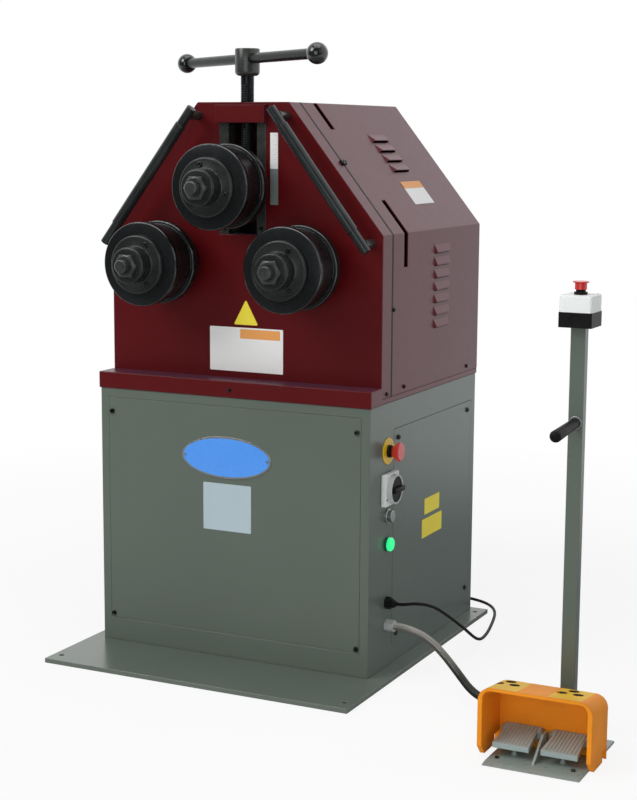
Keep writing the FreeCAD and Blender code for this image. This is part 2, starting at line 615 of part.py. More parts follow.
def make_roller(side, x, z, shaft_back):
    """One bending roller: stepped shaft, two flange rings with the drum between, collar, nut."""
    step = f"-({shaft_back}) - face_depth - bearing_flange - shoulder_gap"
    shaft = [("0", "0"), ("shaft_radius", "0"), ("shaft_radius", step), ("shoulder_radius", step),
             ("shoulder_radius", f"{roller_back} - ({shaft_back})"),
             ("core_radius", f"{roller_back} - ({shaft_back})"),
             ("core_radius", f"{disc_front} - ({shaft_back})"),
             ("stud_radius", f"{disc_front} - ({shaft_back})"),
             ("stud_radius", f"{nut_front} - stud_reach - ({shaft_back}) + stud_edge"),
             ("stud_radius - stud_edge", f"{nut_front} - stud_reach - ({shaft_back})"),
             ("0", f"{nut_front} - stud_reach - ({shaft_back})")]
    node(turned(f"{side}_spindle", shaft), f"{side}_shaft")
    place(NODES[-1], x, shaft_back, z)

    bore = "core_radius + fit_gap"
    rings = []
    for name, start in (("rear", "-ring_thickness"), ("front", "-roller_width")):
        ring = [(bore, start), ("ring_radius - ring_edge", start), ("ring_radius", f"{start} + ring_edge"),
                ("ring_radius", f"{start} + ring_thickness - ring_edge"),
                ("ring_radius - ring_edge", f"{start} + ring_thickness"),
                (bore, f"{start} + ring_thickness")]
        rings.append(place(turned(f"{side}_{name}_ring", ring), x, roller_back, z))
    drum = [(bore, "ring_thickness - roller_width"), ("drum_radius", "ring_thickness - roller_width"),
            ("drum_radius", "-ring_thickness"), (bore, "-ring_thickness")]
    rings.append(place(turned(f"{side}_drum", drum), x, roller_back, z))
    node(group(f"{side}_ring_set", *rings), f"{side}_roller")

    stud = "stud_radius + fit_gap"
    reach = "(disc_thickness + boss_length)"
    collar = [(stud, f"-{reach}"), ("boss_radius - boss_edge", f"-{reach}"), ("boss_radius",
            f"-{reach} + boss_edge"),
              ("boss_radius", "-disc_thickness"), ("disc_radius - boss_edge", "-disc_thickness"),
              ("disc_radius", "-disc_thickness + boss_edge"), ("disc_radius", "0"), (bore, "0"),
              (bore, "-disc_thickness"), (stud, "-disc_thickness")]
    flange = place(turned(f"{side}_flange", collar), x, roller_front, z)
    sinks = []
    for bolt in range(round(number("bolt_count"))):
        angle = f"({bolt} * 360 / bolt_count + {side}_bolt_angle)"
        sinks.append(rod(f"{side}_bolt_sink_{bolt}", f"{x} + disc_bolt_radius * cos({angle})",
                         f"{disc_front} - cut_margin",
                         f"{z} + disc_bolt_radius * sin({angle})", "bolt_sink_radius",
                         "bolt_sink_depth + cut_margin", "Y"))
    node(cut(f"{side}_collar_cut", flange, *sinks), f"{side}_collar")

    hexagon = bind(doc.addObject("Part::Prism", f"{side}_hexagon"), Circumradius="nut_flats / sqrt(3)",
                   Height="nut_height")
    place(hexagon, x, nut_front, z, (1, 0, 0), "-90")
    hole = rod(f"{side}_nut_bore", x, f"{nut_front} - cut_margin", z, stud, "nut_height + 2 * cut_margin",
               "Y")
    node(cut(f"{side}_hex", hexagon, hole), f"{side}_nut")


def make_rollers():
    """The three rollers, the lower shafts' bearings and the plate behind the gears."""
    block_back = "-cheek_back - way_back_gap + face_gap"
    plate_back = "-rear_plate_front + rear_plate_wall"
    make_roller("top", "0", "top_roller_height", block_back)
    make_roller("left", f"-{roller_offset}", "low_roller_height", plate_back)
    make_roller("right", roller_offset, "low_roller_height", plate_back)

    housings = []
    for side, x in (("left", f"-{roller_offset}"), ("right", roller_offset)):
        bore = "shaft_radius + fit_gap"
        housing = [(bore, "-bearing_flange"), ("bearing_radius - bearing_edge", "-bearing_flange"),
                   ("bearing_radius", "bearing_edge - bearing_flange"), ("bearing_radius", "0"),
                   ("bearing_body", "0"),
                   ("bearing_body", "face_depth - bearing_back"), (bore, "face_depth - bearing_back")]
        housings.append(place(turned(f"bearing_{side}", housing), x, "-face_depth", "low_roller_height"))
    node(group("bearing_pair", *housings), "shaft_bearings")

    pillar_x = f"({roller_offset} + pillar_offset)"
    reach = f"({pillar_x} + pillar_margin)"
    plate = box("rear_plate_blank", f"-{reach}", "-rear_plate_front", "low_roller_height - rear_plate_half",
                f"2 * {reach}", "rear_plate_wall", "2 * rear_plate_half")
    pillars = []
    holes = []
    for side, sign in (("left", "-1"), ("right", "1")):
        holes.append(rod(f"rear_bore_{side}", f"{sign} * {roller_offset}", "-rear_plate_front - cut_margin",
                         "low_roller_height", "shaft_radius + fit_gap",
                         "rear_plate_wall + 2 * cut_margin", "Y"))
        for level, rise in (("low", "-pillar_rise"), ("high", "pillar_rise")):
            pillars.append(rod(f"pillar_{side}_{level}", f"{sign} * {pillar_x}",
                               "-face_depth + face_thickness", f"low_roller_height + {rise}",
                               "pillar_radius",
                               "face_depth - face_thickness - rear_plate_front", "Y"))
    holes.append(rod("pinion_bore", "0", "-rear_plate_front - cut_margin", "low_roller_height",
                     "shaft_radius + fit_gap", "rear_plate_wall + 2 * cut_margin", "Y"))
    node(cut("rear_plate", fuse("rear_plate_pillars", plate, *pillars), *holes), "bearing_plate")


def make_drive():
    """Worm gearbox on the bearing plate with its motor hanging into the cabinet."""
    back = "(-rear_plate_front + rear_plate_wall)"
    bottom = "(low_roller_height - box_height / 2)"
    case = box("gear_case", "-box_width / 2", back, bottom, "box_width", "box_depth", "box_height")
    output = rod("output_bore", "0", f"{back} - cut_margin", "low_roller_height", "shaft_radius + fit_gap",
                 "box_depth / 2 + cut_margin", "Y")
    body_top = f"({bottom} - motor_neck_length - motor_flange)"
    neck = rod("motor_neck", "0", motor_line, f"{bottom} - motor_neck_length", "motor_neck_radius",
               "motor_neck_length")
    flange = rod("motor_plate", "0", motor_line, body_top, "motor_radius", "motor_flange")
    fins = []
    body = rod("motor_body", "0", motor_line, f"{body_top} - motor_length", "motor_body_radius",
               "motor_length")
    for turn in range(round(number("fin_count"))):
        angle = f"(360 / fin_count * {turn})"
        fin = box(f"motor_fin_{turn}", "0", "0", "0", "motor_radius", "fin_width", "fin_length")
        place(fin, f"fin_width / 2 * sin({angle})", f"{motor_line} - fin_width / 2 * cos({angle})",
              f"{body_top} - fin_low_end", (0, 0, 1), angle)
        fins.append(fin)
    node(cut("gearmotor_bored", fuse("gearmotor_blank", case, neck, flange, body, *fins), output),
         "gearmotor")


def make_slide():
    """Sliding block, press screw with its hub, T-bar and ball knobs."""
    block = prism("block_blank", "XY_Plane", [[
        ("-slot_width / 2 + face_gap", "0"), ("slot_width / 2 - face_gap", "0"),
        ("slot_width / 2 - face_gap", "rail_depth + face_gap"), ("way_width / 2 - face_gap",
                                                                 "rail_depth + face_gap"),
        ("way_width / 2 - face_gap", "face_depth - cheek_back - way_back_gap"),
        ("-way_width / 2 + face_gap", "face_depth - cheek_back - way_back_gap"),
        ("-way_width / 2 + face_gap", "rail_depth + face_gap"),
        ("-slot_width / 2 + face_gap", "rail_depth + face_gap")]], "slide_height")
    place(block, "0", "-face_depth", "top_roller_height - slide_height / 2")
    bore = rod("slide_bore", "0", "-face_depth - cut_margin", "top_roller_height", "shaft_radius + fit_gap",
               "face_depth - cheek_back + 2 * cut_margin", "Y")
    seat = rod("screw_seat", "0", screw_line, "top_roller_height + slide_height / 2 - screw_hold",
               "screw_radius + fit_gap", "screw_hold + cut_margin")
    node(cut("slide_bored", block, bore, seat), "slide_block")

    foot = "(top_roller_height + slide_height / 2 - screw_hold + face_gap)"
    hub = f"(hub_bottom - {foot})"
    screw = turned("screw_turned", [
        ("0", "0"), ("screw_radius - turned_edge", "0"), ("screw_radius", "turned_edge"), ("screw_radius",
                hub),
        ("hub_radius - hub_edge", hub), ("hub_radius", f"{hub} + hub_edge"),
        ("hub_radius", f"{hub} + hub_height - turned_edge"), ("hub_radius - turned_edge",
                                                              f"{hub} + hub_height"),
        ("0", f"{hub} + hub_height")], "Z")
    place(screw, "0", screw_line, foot)
    cross = rod("bar_bore", "0", "0", "0", "bar_radius + fit_gap", "2 * hub_radius + 2 * cut_margin")
    cross.Placement = Placement(Vector(), Rotation(Vector(0, 0, 1),
                                                   number("bar_angle")) * Rotation(Vector(0, 1, 0), 90))
    place(cross, "-(hub_radius + cut_margin) * cos(bar_angle)",
          f"{screw_line} - (hub_radius + cut_margin) * sin(bar_angle)", "bar_height")
    node(cut("screw_crossed", screw, cross), "press_screw")

    bar = doc.addObject("Part::Cylinder", "bar_round")
    bind(bar, Radius="bar_radius", Height="2 * bar_half")
    bar.Placement = cross.Placement
    place(bar, "-bar_half * cos(bar_angle)", f"{screw_line} - bar_half * sin(bar_angle)", "bar_height")
    node(bar, "handle_bar")

    balls = []
    for side, sign in (("left", "-1"), ("right", "1")):
        ball = bind(doc.addObject("Part::Sphere", f"ball_{side}"), Radius="ball_radius")
        place(ball, f"{sign} * bar_half * cos(bar_angle)",
              f"{screw_line} + {sign} * bar_half * sin(bar_angle)",
              "bar_height")
        socket = doc.addObject("Part::Cylinder", f"ball_socket_{side}")
        bind(socket, Radius="bar_radius + fit_gap", Height="ball_radius * 2")
        socket.Placement = cross.Placement
        inner = "(-bar_half)" if side == "left" else "(bar_half - 2 * ball_radius)"
        place(socket, f"{inner} * cos(bar_angle)", f"{screw_line} + {inner} * sin(bar_angle)", "bar_height")
        balls.append(cut(f"ball_bored_{side}", ball, socket))
    node(group("balls", *balls), "handle_knobs")


def make_rods():
    """Bar guides along the slopes of the head, on stand-offs, and the depth scale."""
    brackets = []
    length = ("sqrt((rod_low_x - rod_top_x) * (rod_low_x - rod_top_x)"
              " + (rod_top_z - rod_low_z) * (rod_top_z - rod_low_z))")
    angle = "(180 - atan((rod_low_x - rod_top_x) / (rod_top_z - rod_low_z)) / 1 deg)"
    profile = [("0", "0"), ("rod_end_radius", "0"), ("rod_end_radius", "rod_top_neck"), ("rod_radius",
            "rod_top_neck"),
               ("rod_radius", f"{length} - rod_low_neck"), ("rod_end_radius", f"{length} - rod_low_neck"),
               ("rod_end_radius", length), ("0", length)]
    right = turned("rod_right", profile, "Z")
    place(right, "rod_top_x", "-face_depth - rod_standoff", "rod_top_z", (0, 1, 0), angle)
    rods = [right, mirrored("rod_left", right)]
    share = f"(standoff_inset / ({length}))"
    for name, part in (("high", share), ("low", f"(1 - {share})")):
        x = f"rod_top_x + (rod_low_x - rod_top_x) * {part}"
        z = f"rod_top_z - (rod_top_z - rod_low_z) * {part}"
        post = rod(f"standoff_{name}", x, "-face_depth - rod_standoff + rod_end_radius + fit_gap", z,
                   "standoff_radius", "rod_standoff - rod_end_radius - fit_gap", "Y")
        brackets += [post, mirrored(f"standoff_{name}_left", post)]
    node(group("rod_pair", *rods), "guide_rods")
    node(group("standoffs", *brackets), "rod_brackets")
    node(box("scale", "scale_left", "-face_depth - scale_thickness", "scale_bottom", "scale_width",
             "scale_thickness", "scale_height"), "depth_scale")


def make_controls():
    """Emergency stop, main switch, push button, lamp and glands on the right side."""
    x = half_width
    line = "-control_line"
    back = "(ring_plate_thickness + collar_length)"
    collar = turned("stop_ring", [
        ("stem_radius + fit_gap", "0"), ("ring_plate_radius", "0"), ("ring_plate_radius",
                                                                     "ring_plate_thickness"),
        ("collar_radius", "ring_plate_thickness"), ("collar_radius", back), ("stem_radius + fit_gap",
                back)], "X")
    node(place(collar, x, line, "stop_height"), "stop_collar_side")
    nose = f"({back} + press_travel + face_gap)"
    stem = turned("stop_rod", [
        ("0", "press_travel + face_gap"), ("stem_radius", "press_travel + face_gap"), ("stem_radius", nose),
        ("stem_radius - stem_step", nose), ("stem_radius - stem_step", f"{nose} + head_length / 2"),
        ("0", f"{nose} + head_length / 2")],
        "X")
    node(place(stem, x, line, "stop_height"), "stop_stem_side")
    head = turned("stop_mushroom", [
        ("stem_radius - stem_step + fit_gap", "0"), ("head_neck", "0"), ("head_radius", "head_flare"),
        ("head_radius", "head_length - head_edge"), ("head_radius - head_edge", "head_length"),
        ("0", "head_length"),
        ("0", "head_length / 2 + face_gap"),
        ("stem_radius - stem_step + fit_gap", "head_length / 2 + face_gap")], "X")
    node(place(head, f"{x} + {nose} + seat_gap", line, "stop_height"), "stop_head_side")

    node(box("switch_box", x, f"{line} - switch_size / 2", "switch_height - switch_size / 2",
             "switch_depth",
             "switch_size", "switch_size"), "switch_body")
    knob = turned("knob_round", [
        ("0", "0"), ("knob_radius", "0"), ("knob_radius", "knob_length - knob_edge"),
        ("knob_radius - knob_edge", "knob_length"),
        ("0", "knob_length")], "X")
    place(knob, f"{x} + switch_depth + face_gap", line, "switch_height")
    bar = box("knob_bar", f"{x} + switch_depth + face_gap + knob_length / 2",
              f"{line} - grip_bar_length / 2",
              "switch_height - grip_bar_width / 2", "grip_bar_rise + knob_length / 2", "grip_bar_length",
              "grip_bar_width")
    node(fuse("knob_with_bar", knob, bar), "switch_knob")

    bezels = []
    for name, height in (("button", "button_height"), ("lamp", "lamp_height")):
        ring = turned(f"{name}_ring", [
            ("bezel_bore", "0"), ("bezel_radius", "0"), ("bezel_radius", "bezel_thickness - control_edge"),
            ("bezel_radius - control_edge", "bezel_thickness"), ("bezel_bore", "bezel_thickness")], "X")
        bezels.append(place(ring, x, line, height))
    node(group("bezel_pair", *bezels), "control_bezels")
    button = turned("button_cap", [
        ("0", "button_travel + face_gap"), ("button_radius", "button_travel + face_gap"),
        ("button_radius", "button_proud - control_edge"),
        ("button_radius - control_edge", "button_proud"), ("0", "button_proud")], "X")
    node(place(button, x, line, "button_height"), "push_button")
    lens = turned("lamp_lens", [
        ("0", "0"), ("lamp_neck", "0"), ("lamp_neck", "bezel_thickness + face_gap"),
        ("lamp_radius", "bezel_thickness + face_gap"), ("lamp_radius", "lamp_proud - lamp_edge"),
        ("lamp_radius - lamp_edge", "lamp_proud"), ("0", "lamp_proud")], "X")
    node(place(lens, x, line, "lamp_height"), "signal_lamp")

    def hexagon(name, x_from, y_line, height, flats, length):
        item = bind(doc.addObject("Part::Prism", name), Circumradius=f"{flats} / sqrt(3)", Height=length)
        return place(item, x_from, y_line, height, (0, 1, 0), "90")

    relief = turned("relief_cone", [
        ("0", "0"), ("relief_radius", "0"), ("relief_radius", "relief_land"),
        ("relief_tip", "relief_length"), ("0", "relief_length")], "X")
    place(relief, f"{x} + gland_nut", "-mains_line", "mains_height")
    nut = hexagon("mains_nut", x, "-mains_line", "mains_height", "gland_flats", "gland_nut")
    node(fuse("mains_gland_whole", nut, relief), "mains_gland")

    wall_gland = hexagon("hose_nut_wall", x, "-mains_line", "hose_height", "hose_gland_flats",
                         "hose_gland_length")
    guard_gland = bind(doc.addObject("Part::Prism", "hose_nut_guard"),
                       Circumradius="hose_gland_flats / sqrt(3)",
                       Height="hose_gland_length")
    place(guard_gland, guard_gland_x, guard_gland_y, guard_gland_z, (1, 0, 0), "-90")
    node(group("hose_gland_pair", wall_gland, guard_gland), "hose_glands")


def tube(points, diameter):
    """A round tube along straight runs joined by tangent arcs, with the arc radii used."""
    spots = list(points)
    edges = []
    radii = []
    start = spots[0]
    for before, corner, after in zip(spots, spots[1:], spots[2:]):
        inward = (corner - before)
        outward = (after - corner)
        shorter = min(inward.Length, outward.Length)
        turn = inward.getAngle(outward)
        reach = BEND_SHARE * shorter
        inward.normalize()
        outward.normalize()
        first = corner - inward * reach
        last = corner + outward * reach
        radius = reach / math.tan(turn / 2)
        radii.append(radius)
        bisector = (outward - inward).normalize()
        centre = corner + bisector * (radius / math.cos(turn / 2))
        middle = centre - bisector * radius
        edges.append(Part.LineSegment(start, first).toShape())
        edges.append(Part.Arc(first, middle, last).toShape())
        start = last
    edges.append(Part.LineSegment(start, spots[-1]).toShape())
    path = Part.Wire(edges)
    along = (spots[1] - spots[0]).normalize()
    section = Part.Wire([Part.Circle(spots[0], along, diameter / 2).toShape()])
    solid = path.makePipeShell([section], True, False)
    expected = math.pi * diameter ** 2 / 4 * path.Length
    print("tube radii", [round(radius) for radius in radii], "length", round(path.Length),
          "volume ratio", round(solid.Volume / expected, 4))
    return solid


# Points that the cords pass, in millimetres, at the sheet's own sizes.
MAINS_ROUTE = (
    (350, -207, 150.8), (360, -207, 151), (370, -206, 152.6), (379, -202.5, 153.7),
    (387, -197, 154), (394.6, -188, 152.2),
    (401.6, -177, 149.2), (407.4, -163, 143.6), (412.8, -148, 136.7), (418, -132, 127.1),
    (423, -115, 115.8),
    (427, -98, 104.6), (430, -80, 93.2), (433, -62, 81.4), (436, -42, 68.6), (437.5, -20, 54.5),
    (438, 4, 40),
    (437.5, 30, 25.5), (436, 58, 13.5), (433, 88, 6), (429, 120, 3.6), (424, 154, 3.6), (414, 200, 3.6),
    (402, 250, 3.6), (388, 300, 3.6), (368, 344, 3.6), (338, 378, 3.6), (298, 398, 3.6), (252.1, 407.2,
            3.6),
)
HOSE_ROUTE = (
    (345, -207, 102), (361, -207, 102), (384, -207.5, 98.5), (411, -211, 92), (437, -219, 82),
    (459, -230, 71),
    (482, -246, 60), (506, -267, 50), (532, -293, 41), (560, -325, 34.5), (592, -355, 31),
    (628, -372, 30.5),
    (661, -384, 31.5), (686, -398.5, 33), (703, -419, 33.8), (711.2, -444, 33.8), (711.2, -470, 33.8),
)


def eased(route, start, end):
    """The route moved so that its ends lie where the sizes put them, the shift fading along it."""
    first = Vector(*(number(value) for value in start)) - Vector(*route[0])
    last = Vector(*(number(value) for value in end)) - Vector(*route[-1])
    steps = len(route) - 1
    return [Vector(*spot) + first * (1 - step / steps) + last * (step / steps) for step,
            spot in enumerate(route)]


def make_cords():
    """Mains lead with its put-away coil and plug, and the hose to the foot station."""
    lead_start = (f"{half_width} + gland_nut + relief_length", "-mains_line", "mains_height")
    lead_end = ("coil_x + coil_middle - coil_lap", "coil_y + coil_middle - coil_side",
                "lead_diameter / 2 + seat_gap")
    hose_start = (f"{half_width} + hose_gland_length", "-mains_line", "hose_height")
    hose_end = (guard_gland_x, f"{guard_gland_y} + hose_gland_length", guard_gland_z)
    for name, route, size, start, end in (("mains_cord", MAINS_ROUTE, "lead_diameter", lead_start,
                                           lead_end),
                                          ("conduit", HOSE_ROUTE, "hose_diameter", hose_start, hose_end)):
        item = doc.addObject("Part::Feature", name + "_tube")
        item.Shape = tube(eased(route, start, end), number(size))
        node(item, name)
    half = "(coil_layers * lead_diameter / 2)"
    edge = "(lead_diameter / 3)"
    coil = turned("coil_ring", [
        (f"coil_middle - {half}", edge), (f"coil_middle - {half} + {edge}", "0"),
        (f"coil_middle + {half} - {edge}", "0"), (f"coil_middle + {half}", edge),
        (f"coil_middle + {half}", f"coil_height - {edge}"), (f"coil_middle + {half} - {edge}",
                                                             "coil_height"),
        (f"coil_middle - {half} + {edge}", "coil_height"), (f"coil_middle - {half}",
                                                            f"coil_height - {edge}")], "Z")
    node(place(coil, "coil_x", "coil_y", "0"), "cord_coil")
    total = "(plug_relief + plug_length)"
    body = turned("plug_body", [
        ("0", "0"), ("relief_tip", "0"), ("relief_tip + plug_flare", "plug_relief"), ("plug_shoulder",
                "plug_relief"),
        ("plug_radius", "plug_relief + plug_edge"), ("plug_radius", total), ("0", total)], "X")
    place(body, "0", "0", "0")
    pins = []
    for side, sign in (("near", "-1"), ("far", "1")):
        pins.append(rod(f"plug_pin_{side}", f"{total} - cut_margin", f"{sign} * pin_spacing / 2", "0",
                        "pin_radius",
                        "pin_length + cut_margin", "X"))
    plug = fuse("plug_whole", body, *pins)
    place(plug, "coil_x - plug_offset", "coil_y + coil_middle", "plug_radius", (0, 0, 1), "180")
    node(plug, "mains_plug")


def make_station():
    """Foot station: plate, guard, pedals on their pins, post with grip, control box."""
    left = "station_plate_left"
    front = "(-station_plate_front)"
    lip = prism("station_blank", "YZ_Plane", [[
        (front, "0"), (f"{front} + station_plate_depth", "0"), (f"{front} + station_plate_depth",
                                                                "station_plate_wall"),
        (f"{front} + station_lip", "station_plate_wall"), (front, "lip_thickness")]], "station_plate_width")
    place(lip, left)
    divider = prism("divider_blank", "YZ_Plane", [[
        (f"{front} + station_lip + divider_toe", "station_plate_wall / 2"), ("-divider_back",
                "station_plate_wall / 2"),
        ("-divider_back", "station_plate_wall + divider_height"),
        ("-divider_back - divider_crest", "station_plate_wall + divider_height"),
        (f"{front} + station_lip + divider_tip", "station_plate_wall * 2")]], "divider_wall")
    place(divider, "station_x - divider_offset")
    solids = [lip, divider]
    holes = []
    pin_y = "-pedal_pin_line"
    for side in ("left", "right"):
        start = f"pedal_{side}_x"
        for end, x in (("inner", f"{start} - face_gap - lug_wall"),
                       ("outer", f"{start} + pedal_width + face_gap")):
            solids.append(box(f"lug_{side}_{end}", x, f"{pin_y} - pedal_barrel", "station_plate_wall / 2",
                              "lug_wall", "2 * pedal_barrel",
                              "lug_height"))
        solids.append(bind(doc.addObject("Part::Cone", f"bumper_{side}"), Radius1="bumper_radius",
                           Radius2="bumper_tip",
                           Height="bumper_height + station_plate_wall / 2"))
        place(solids[-1], f"{start} + pedal_width / 2", "-bumper_line", "station_plate_wall / 2")
        holes.append(rod(f"pin_hole_{side}", f"{start} - 2 * lug_wall", pin_y, "pedal_pin_height",
                         "pedal_pin_radius + fit_gap", "pedal_width + 4 * lug_wall", "X"))
        screw_x = "station_plate_left + station_screw_inset"
        if side == "right":
            screw_x = "station_plate_left + station_plate_width - station_screw_far"
        holes.append(rod(f"screw_hole_{side}", screw_x, "-station_plate_front + station_screw_setback",
                         "-cut_margin", "station_screw_radius",
                         "station_plate_wall + 2 * cut_margin"))
    node(cut("station_bored", fuse("station_whole", *solids), *holes), "station_plate")

    guard_y = "(-guard_front)"
    back = f"({guard_y} + guard_depth)"
    slope = "((guard_height - guard_rear_height) / guard_depth)"
    outer = prism("guard_outer", "YZ_Plane", [[
        (guard_y, "guard_side_rise"), (f"{guard_y} + guard_tip_back", "guard_tip_rise"),
        (f"{guard_y} + guard_tip_back + guard_tip_land", "guard_tip_rise"),
        (f"{guard_y} + guard_tip_back + guard_tip_land", "guard_side_rise"),
        (f"{back} - guard_back_wall", "guard_side_rise"), (f"{back} - guard_back_wall",
                                                           "station_plate_wall"),
        (back, "station_plate_wall"), (back, "guard_rear_height"), (guard_y, "guard_height")]],
        "guard_width")
    rounded(outer, "guard_corner", lambda edge: runs_along(edge, "y")
            and edge.CenterOfMass.z > number("guard_rear_height"))
    rounded(outer, "guard_rear_corner", lambda edge: runs_along(edge, "z")
            and abs(edge.CenterOfMass.y - number(back)) < SAME_PLACE
            and edge.Length > number("guard_rear_height") / 3)
    place(outer, "guard_left")
    inner = prism("guard_inner", "YZ_Plane", [[
        (f"{guard_y} - guard_margin", "-guard_margin"), (f"{back} - guard_back_wall", "-guard_margin"),
        (f"{back} - guard_back_wall",
         f"guard_height - guard_roof - {slope} * (guard_depth - guard_back_wall)"),
        (f"{guard_y} - guard_margin", f"guard_height - guard_roof + {slope} * guard_margin")]],
        "guard_width - 2 * guard_wall")
    rounded(inner, "guard_inner_corner", lambda edge: runs_along(edge, "y")
            and edge.CenterOfMass.z > number("guard_height") / 2)
    place(inner, "guard_left + guard_wall")
    holes = []
    for side, middle in (("left", "guard_left + guard_hole_left"),
                         ("right", "guard_left + guard_hole_right")):
        for spot, (across, along) in enumerate((("-guard_hole_spread", "guard_hole_front"),
                                                ("0", "guard_hole_rear"),
                                                 ("guard_hole_spread", "guard_hole_front"))):
            holes.append(rod(f"guard_hole_{side}_{spot}", f"{middle} + {across}",
                             f"{guard_y} + guard_depth / 2 + {along}", "guard_rear_height - 3 * guard_roof",
                             "guard_hole_radius", "6 * guard_roof"))
    node(cut("guard_open", outer, inner, *holes), "foot_guard")

    pins = []
    for side in ("left", "right"):
        start = f"pedal_{side}_x"
        face = "pedal_front_height"
        rise = "(pedal_back_height - pedal_front_height)"
        plate = prism(f"pedal_{side}_plate", "YZ_Plane", [[
            ("-pedal_front", f"{face} - pedal_thickness"), ("-pedal_back",
                                                            f"{face} + {rise} - pedal_thickness"),
            ("-pedal_back", f"{face} + {rise}"), ("-pedal_front", face)]], "pedal_width")
        place(plate, start)
        wedges = [prism(f"pedal_{side}_wedge_{end}", "XY_Plane", [[
            (f"{start} + {edge} - {sign} * cut_margin", "-pedal_front - cut_margin"),
            (f"{start} + {edge}", "-pedal_front - cut_margin"),
            (f"{start} + {edge} + {sign} * pedal_taper", "-pedal_pin_line - pedal_barrel"),
            (f"{start} + {edge} - {sign} * cut_margin", "-pedal_pin_line - pedal_barrel")]],
            "pedal_back_height + cut_margin")
            for end, edge, sign in (("near", "0", "1"), ("far", "pedal_width", "-1"))]
        barrel = rod(f"pedal_{side}_barrel", start, pin_y, "pedal_pin_height", "pedal_barrel",
                     "pedal_width", "X")
        ribs = []
        for rib in range(round(number("pedal_ribs"))):
            x = (f"{start} + pedal_taper + (pedal_width - 2 * pedal_taper) * {rib + 0.5} / pedal_ribs"
                 " - pedal_rib_width / 2")
            strip = prism(f"pedal_{side}_rib_{rib}", "YZ_Plane", [[
                ("-pedal_front + pedal_rib_inset", f"{face} - cut_margin"),
                ("-pedal_back - pedal_rib_inset", f"{face} + {rise} - cut_margin"),
                ("-pedal_back - pedal_rib_inset", f"{face} + {rise} + pedal_rib_height"),
                ("-pedal_front + pedal_rib_inset", f"{face} + pedal_rib_height")]], "pedal_rib_width")
            ribs.append(place(strip, x))
        hole = rod(f"pedal_{side}_bore", f"{start} - cut_margin", pin_y, "pedal_pin_height",
                   "pedal_pin_radius + fit_gap",
                   "pedal_width + 2 * cut_margin", "X")
        node(cut(f"pedal_{side}_bored", fuse(f"pedal_{side}_whole", plate, barrel, *ribs), hole, *wedges),
             f"pedal_{side}")
        pins.append(rod(f"pin_{side}", f"{start} - face_gap - lug_wall", pin_y, "pedal_pin_height",
                        "pedal_pin_radius", "pedal_width + 2 * face_gap + 2 * lug_wall", "X"))
    node(group("pin_pair", *pins), "pedal_pins")

    post_outer = box("post_outer", "station_x - post_width / 2", "-post_front", "station_plate_wall",
                     "post_width",
                     "post_depth", "post_top - station_plate_wall")
    post_inner = box("post_inner", "station_x - post_width / 2 + post_wall", "-post_front + post_wall",
                     "station_plate_wall - cut_margin", "post_width - 2 * post_wall",
                     "post_depth - 2 * post_wall",
                     "post_top - station_plate_wall + 2 * cut_margin")
    node(cut("post_tube", post_outer, post_inner), "station_post")
    ring = rod("grip_ring", "station_x", "-post_front - grip_ring_thickness", "grip_height",
               "grip_ring_radius",
               "grip_ring_thickness", "Y")
    handle = turned("grip_handle", [
        ("0", "-grip_ring_thickness / 2"), ("grip_radius", "-grip_ring_thickness / 2"),
        ("grip_radius", "-grip_length + grip_edge"), ("grip_radius - grip_edge", "-grip_length"),
        ("0", "-grip_length")])
    place(handle, "station_x", "-post_front", "grip_height", (1, 0, 0), "grip_tilt")
    node(fuse("grip_whole", ring, handle), "station_grip")

    low_x = "station_x - box_size / 2"
    low_y = "-post_front + post_depth / 2 - box_size / 2"
    base = box("box_base_blank", low_x, low_y, "post_top", "box_size", "box_size", "box_base_height")
    knockout = rod("knockout", "station_x", f"{low_y} - cut_margin", "post_top + box_base_height / 2",
                   "knockout_radius",
                   "knockout_depth + cut_margin", "Y")
    node(cut("box_base_cut", base, knockout), "stop_box_base")
    cover = box("box_cover_blank", low_x, low_y, "post_top + box_base_height", "box_size", "box_size",
                "box_cover_height")
    cover_top = "(post_top + box_base_height + box_cover_height)"
    middle_y = "-post_front + post_depth / 2"
    neck = rod("neck", "station_x", middle_y, f"{cover_top} - cut_margin", "neck_radius",
               "neck_height + cut_margin")
    depth = "(neck_height + neck_sink)"
    bore = rod("neck_bore", "station_x", middle_y, f"{cover_top} + neck_height - {depth}",
               "waist_radius + fit_gap",
               f"{depth} + cut_margin")
    node(cut("box_cover_cut", fuse("box_cover_whole", cover, neck), bore), "stop_box_cover")
    sole = f"({cover_top} + neck_height - {depth} + press_travel + face_gap)"
    nose = f"({cover_top} + neck_height + press_travel + face_gap - {sole})"
    stem = turned("station_stem", [
        ("0", "0"), ("waist_radius", "0"), ("waist_radius", nose), ("waist_radius - waist_step", nose),
        ("waist_radius - waist_step", f"{nose} + station_head_height / 2"),
        ("0", f"{nose} + station_head_height / 2")], "Z")
    node(place(stem, "station_x", middle_y, sole), "stop_stem_station")
    head = turned("station_mushroom", [
        ("waist_radius - waist_step + fit_gap", "0"), ("station_head_neck", "0"),
        ("station_head_neck", "station_head_flare"), ("station_head_radius", "station_head_rim"),
        ("station_head_radius", "station_head_height - station_head_edge"),
        ("station_head_radius - station_head_edge", "station_head_height"),
        ("0", "station_head_height"), ("0", "station_head_height / 2 + face_gap"),
        ("waist_radius - waist_step + fit_gap", "station_head_height / 2 + face_gap")], "Z")
    node(place(head, "station_x", middle_y, f"{sole} + {nose} + seat_gap"), "stop_head_station")


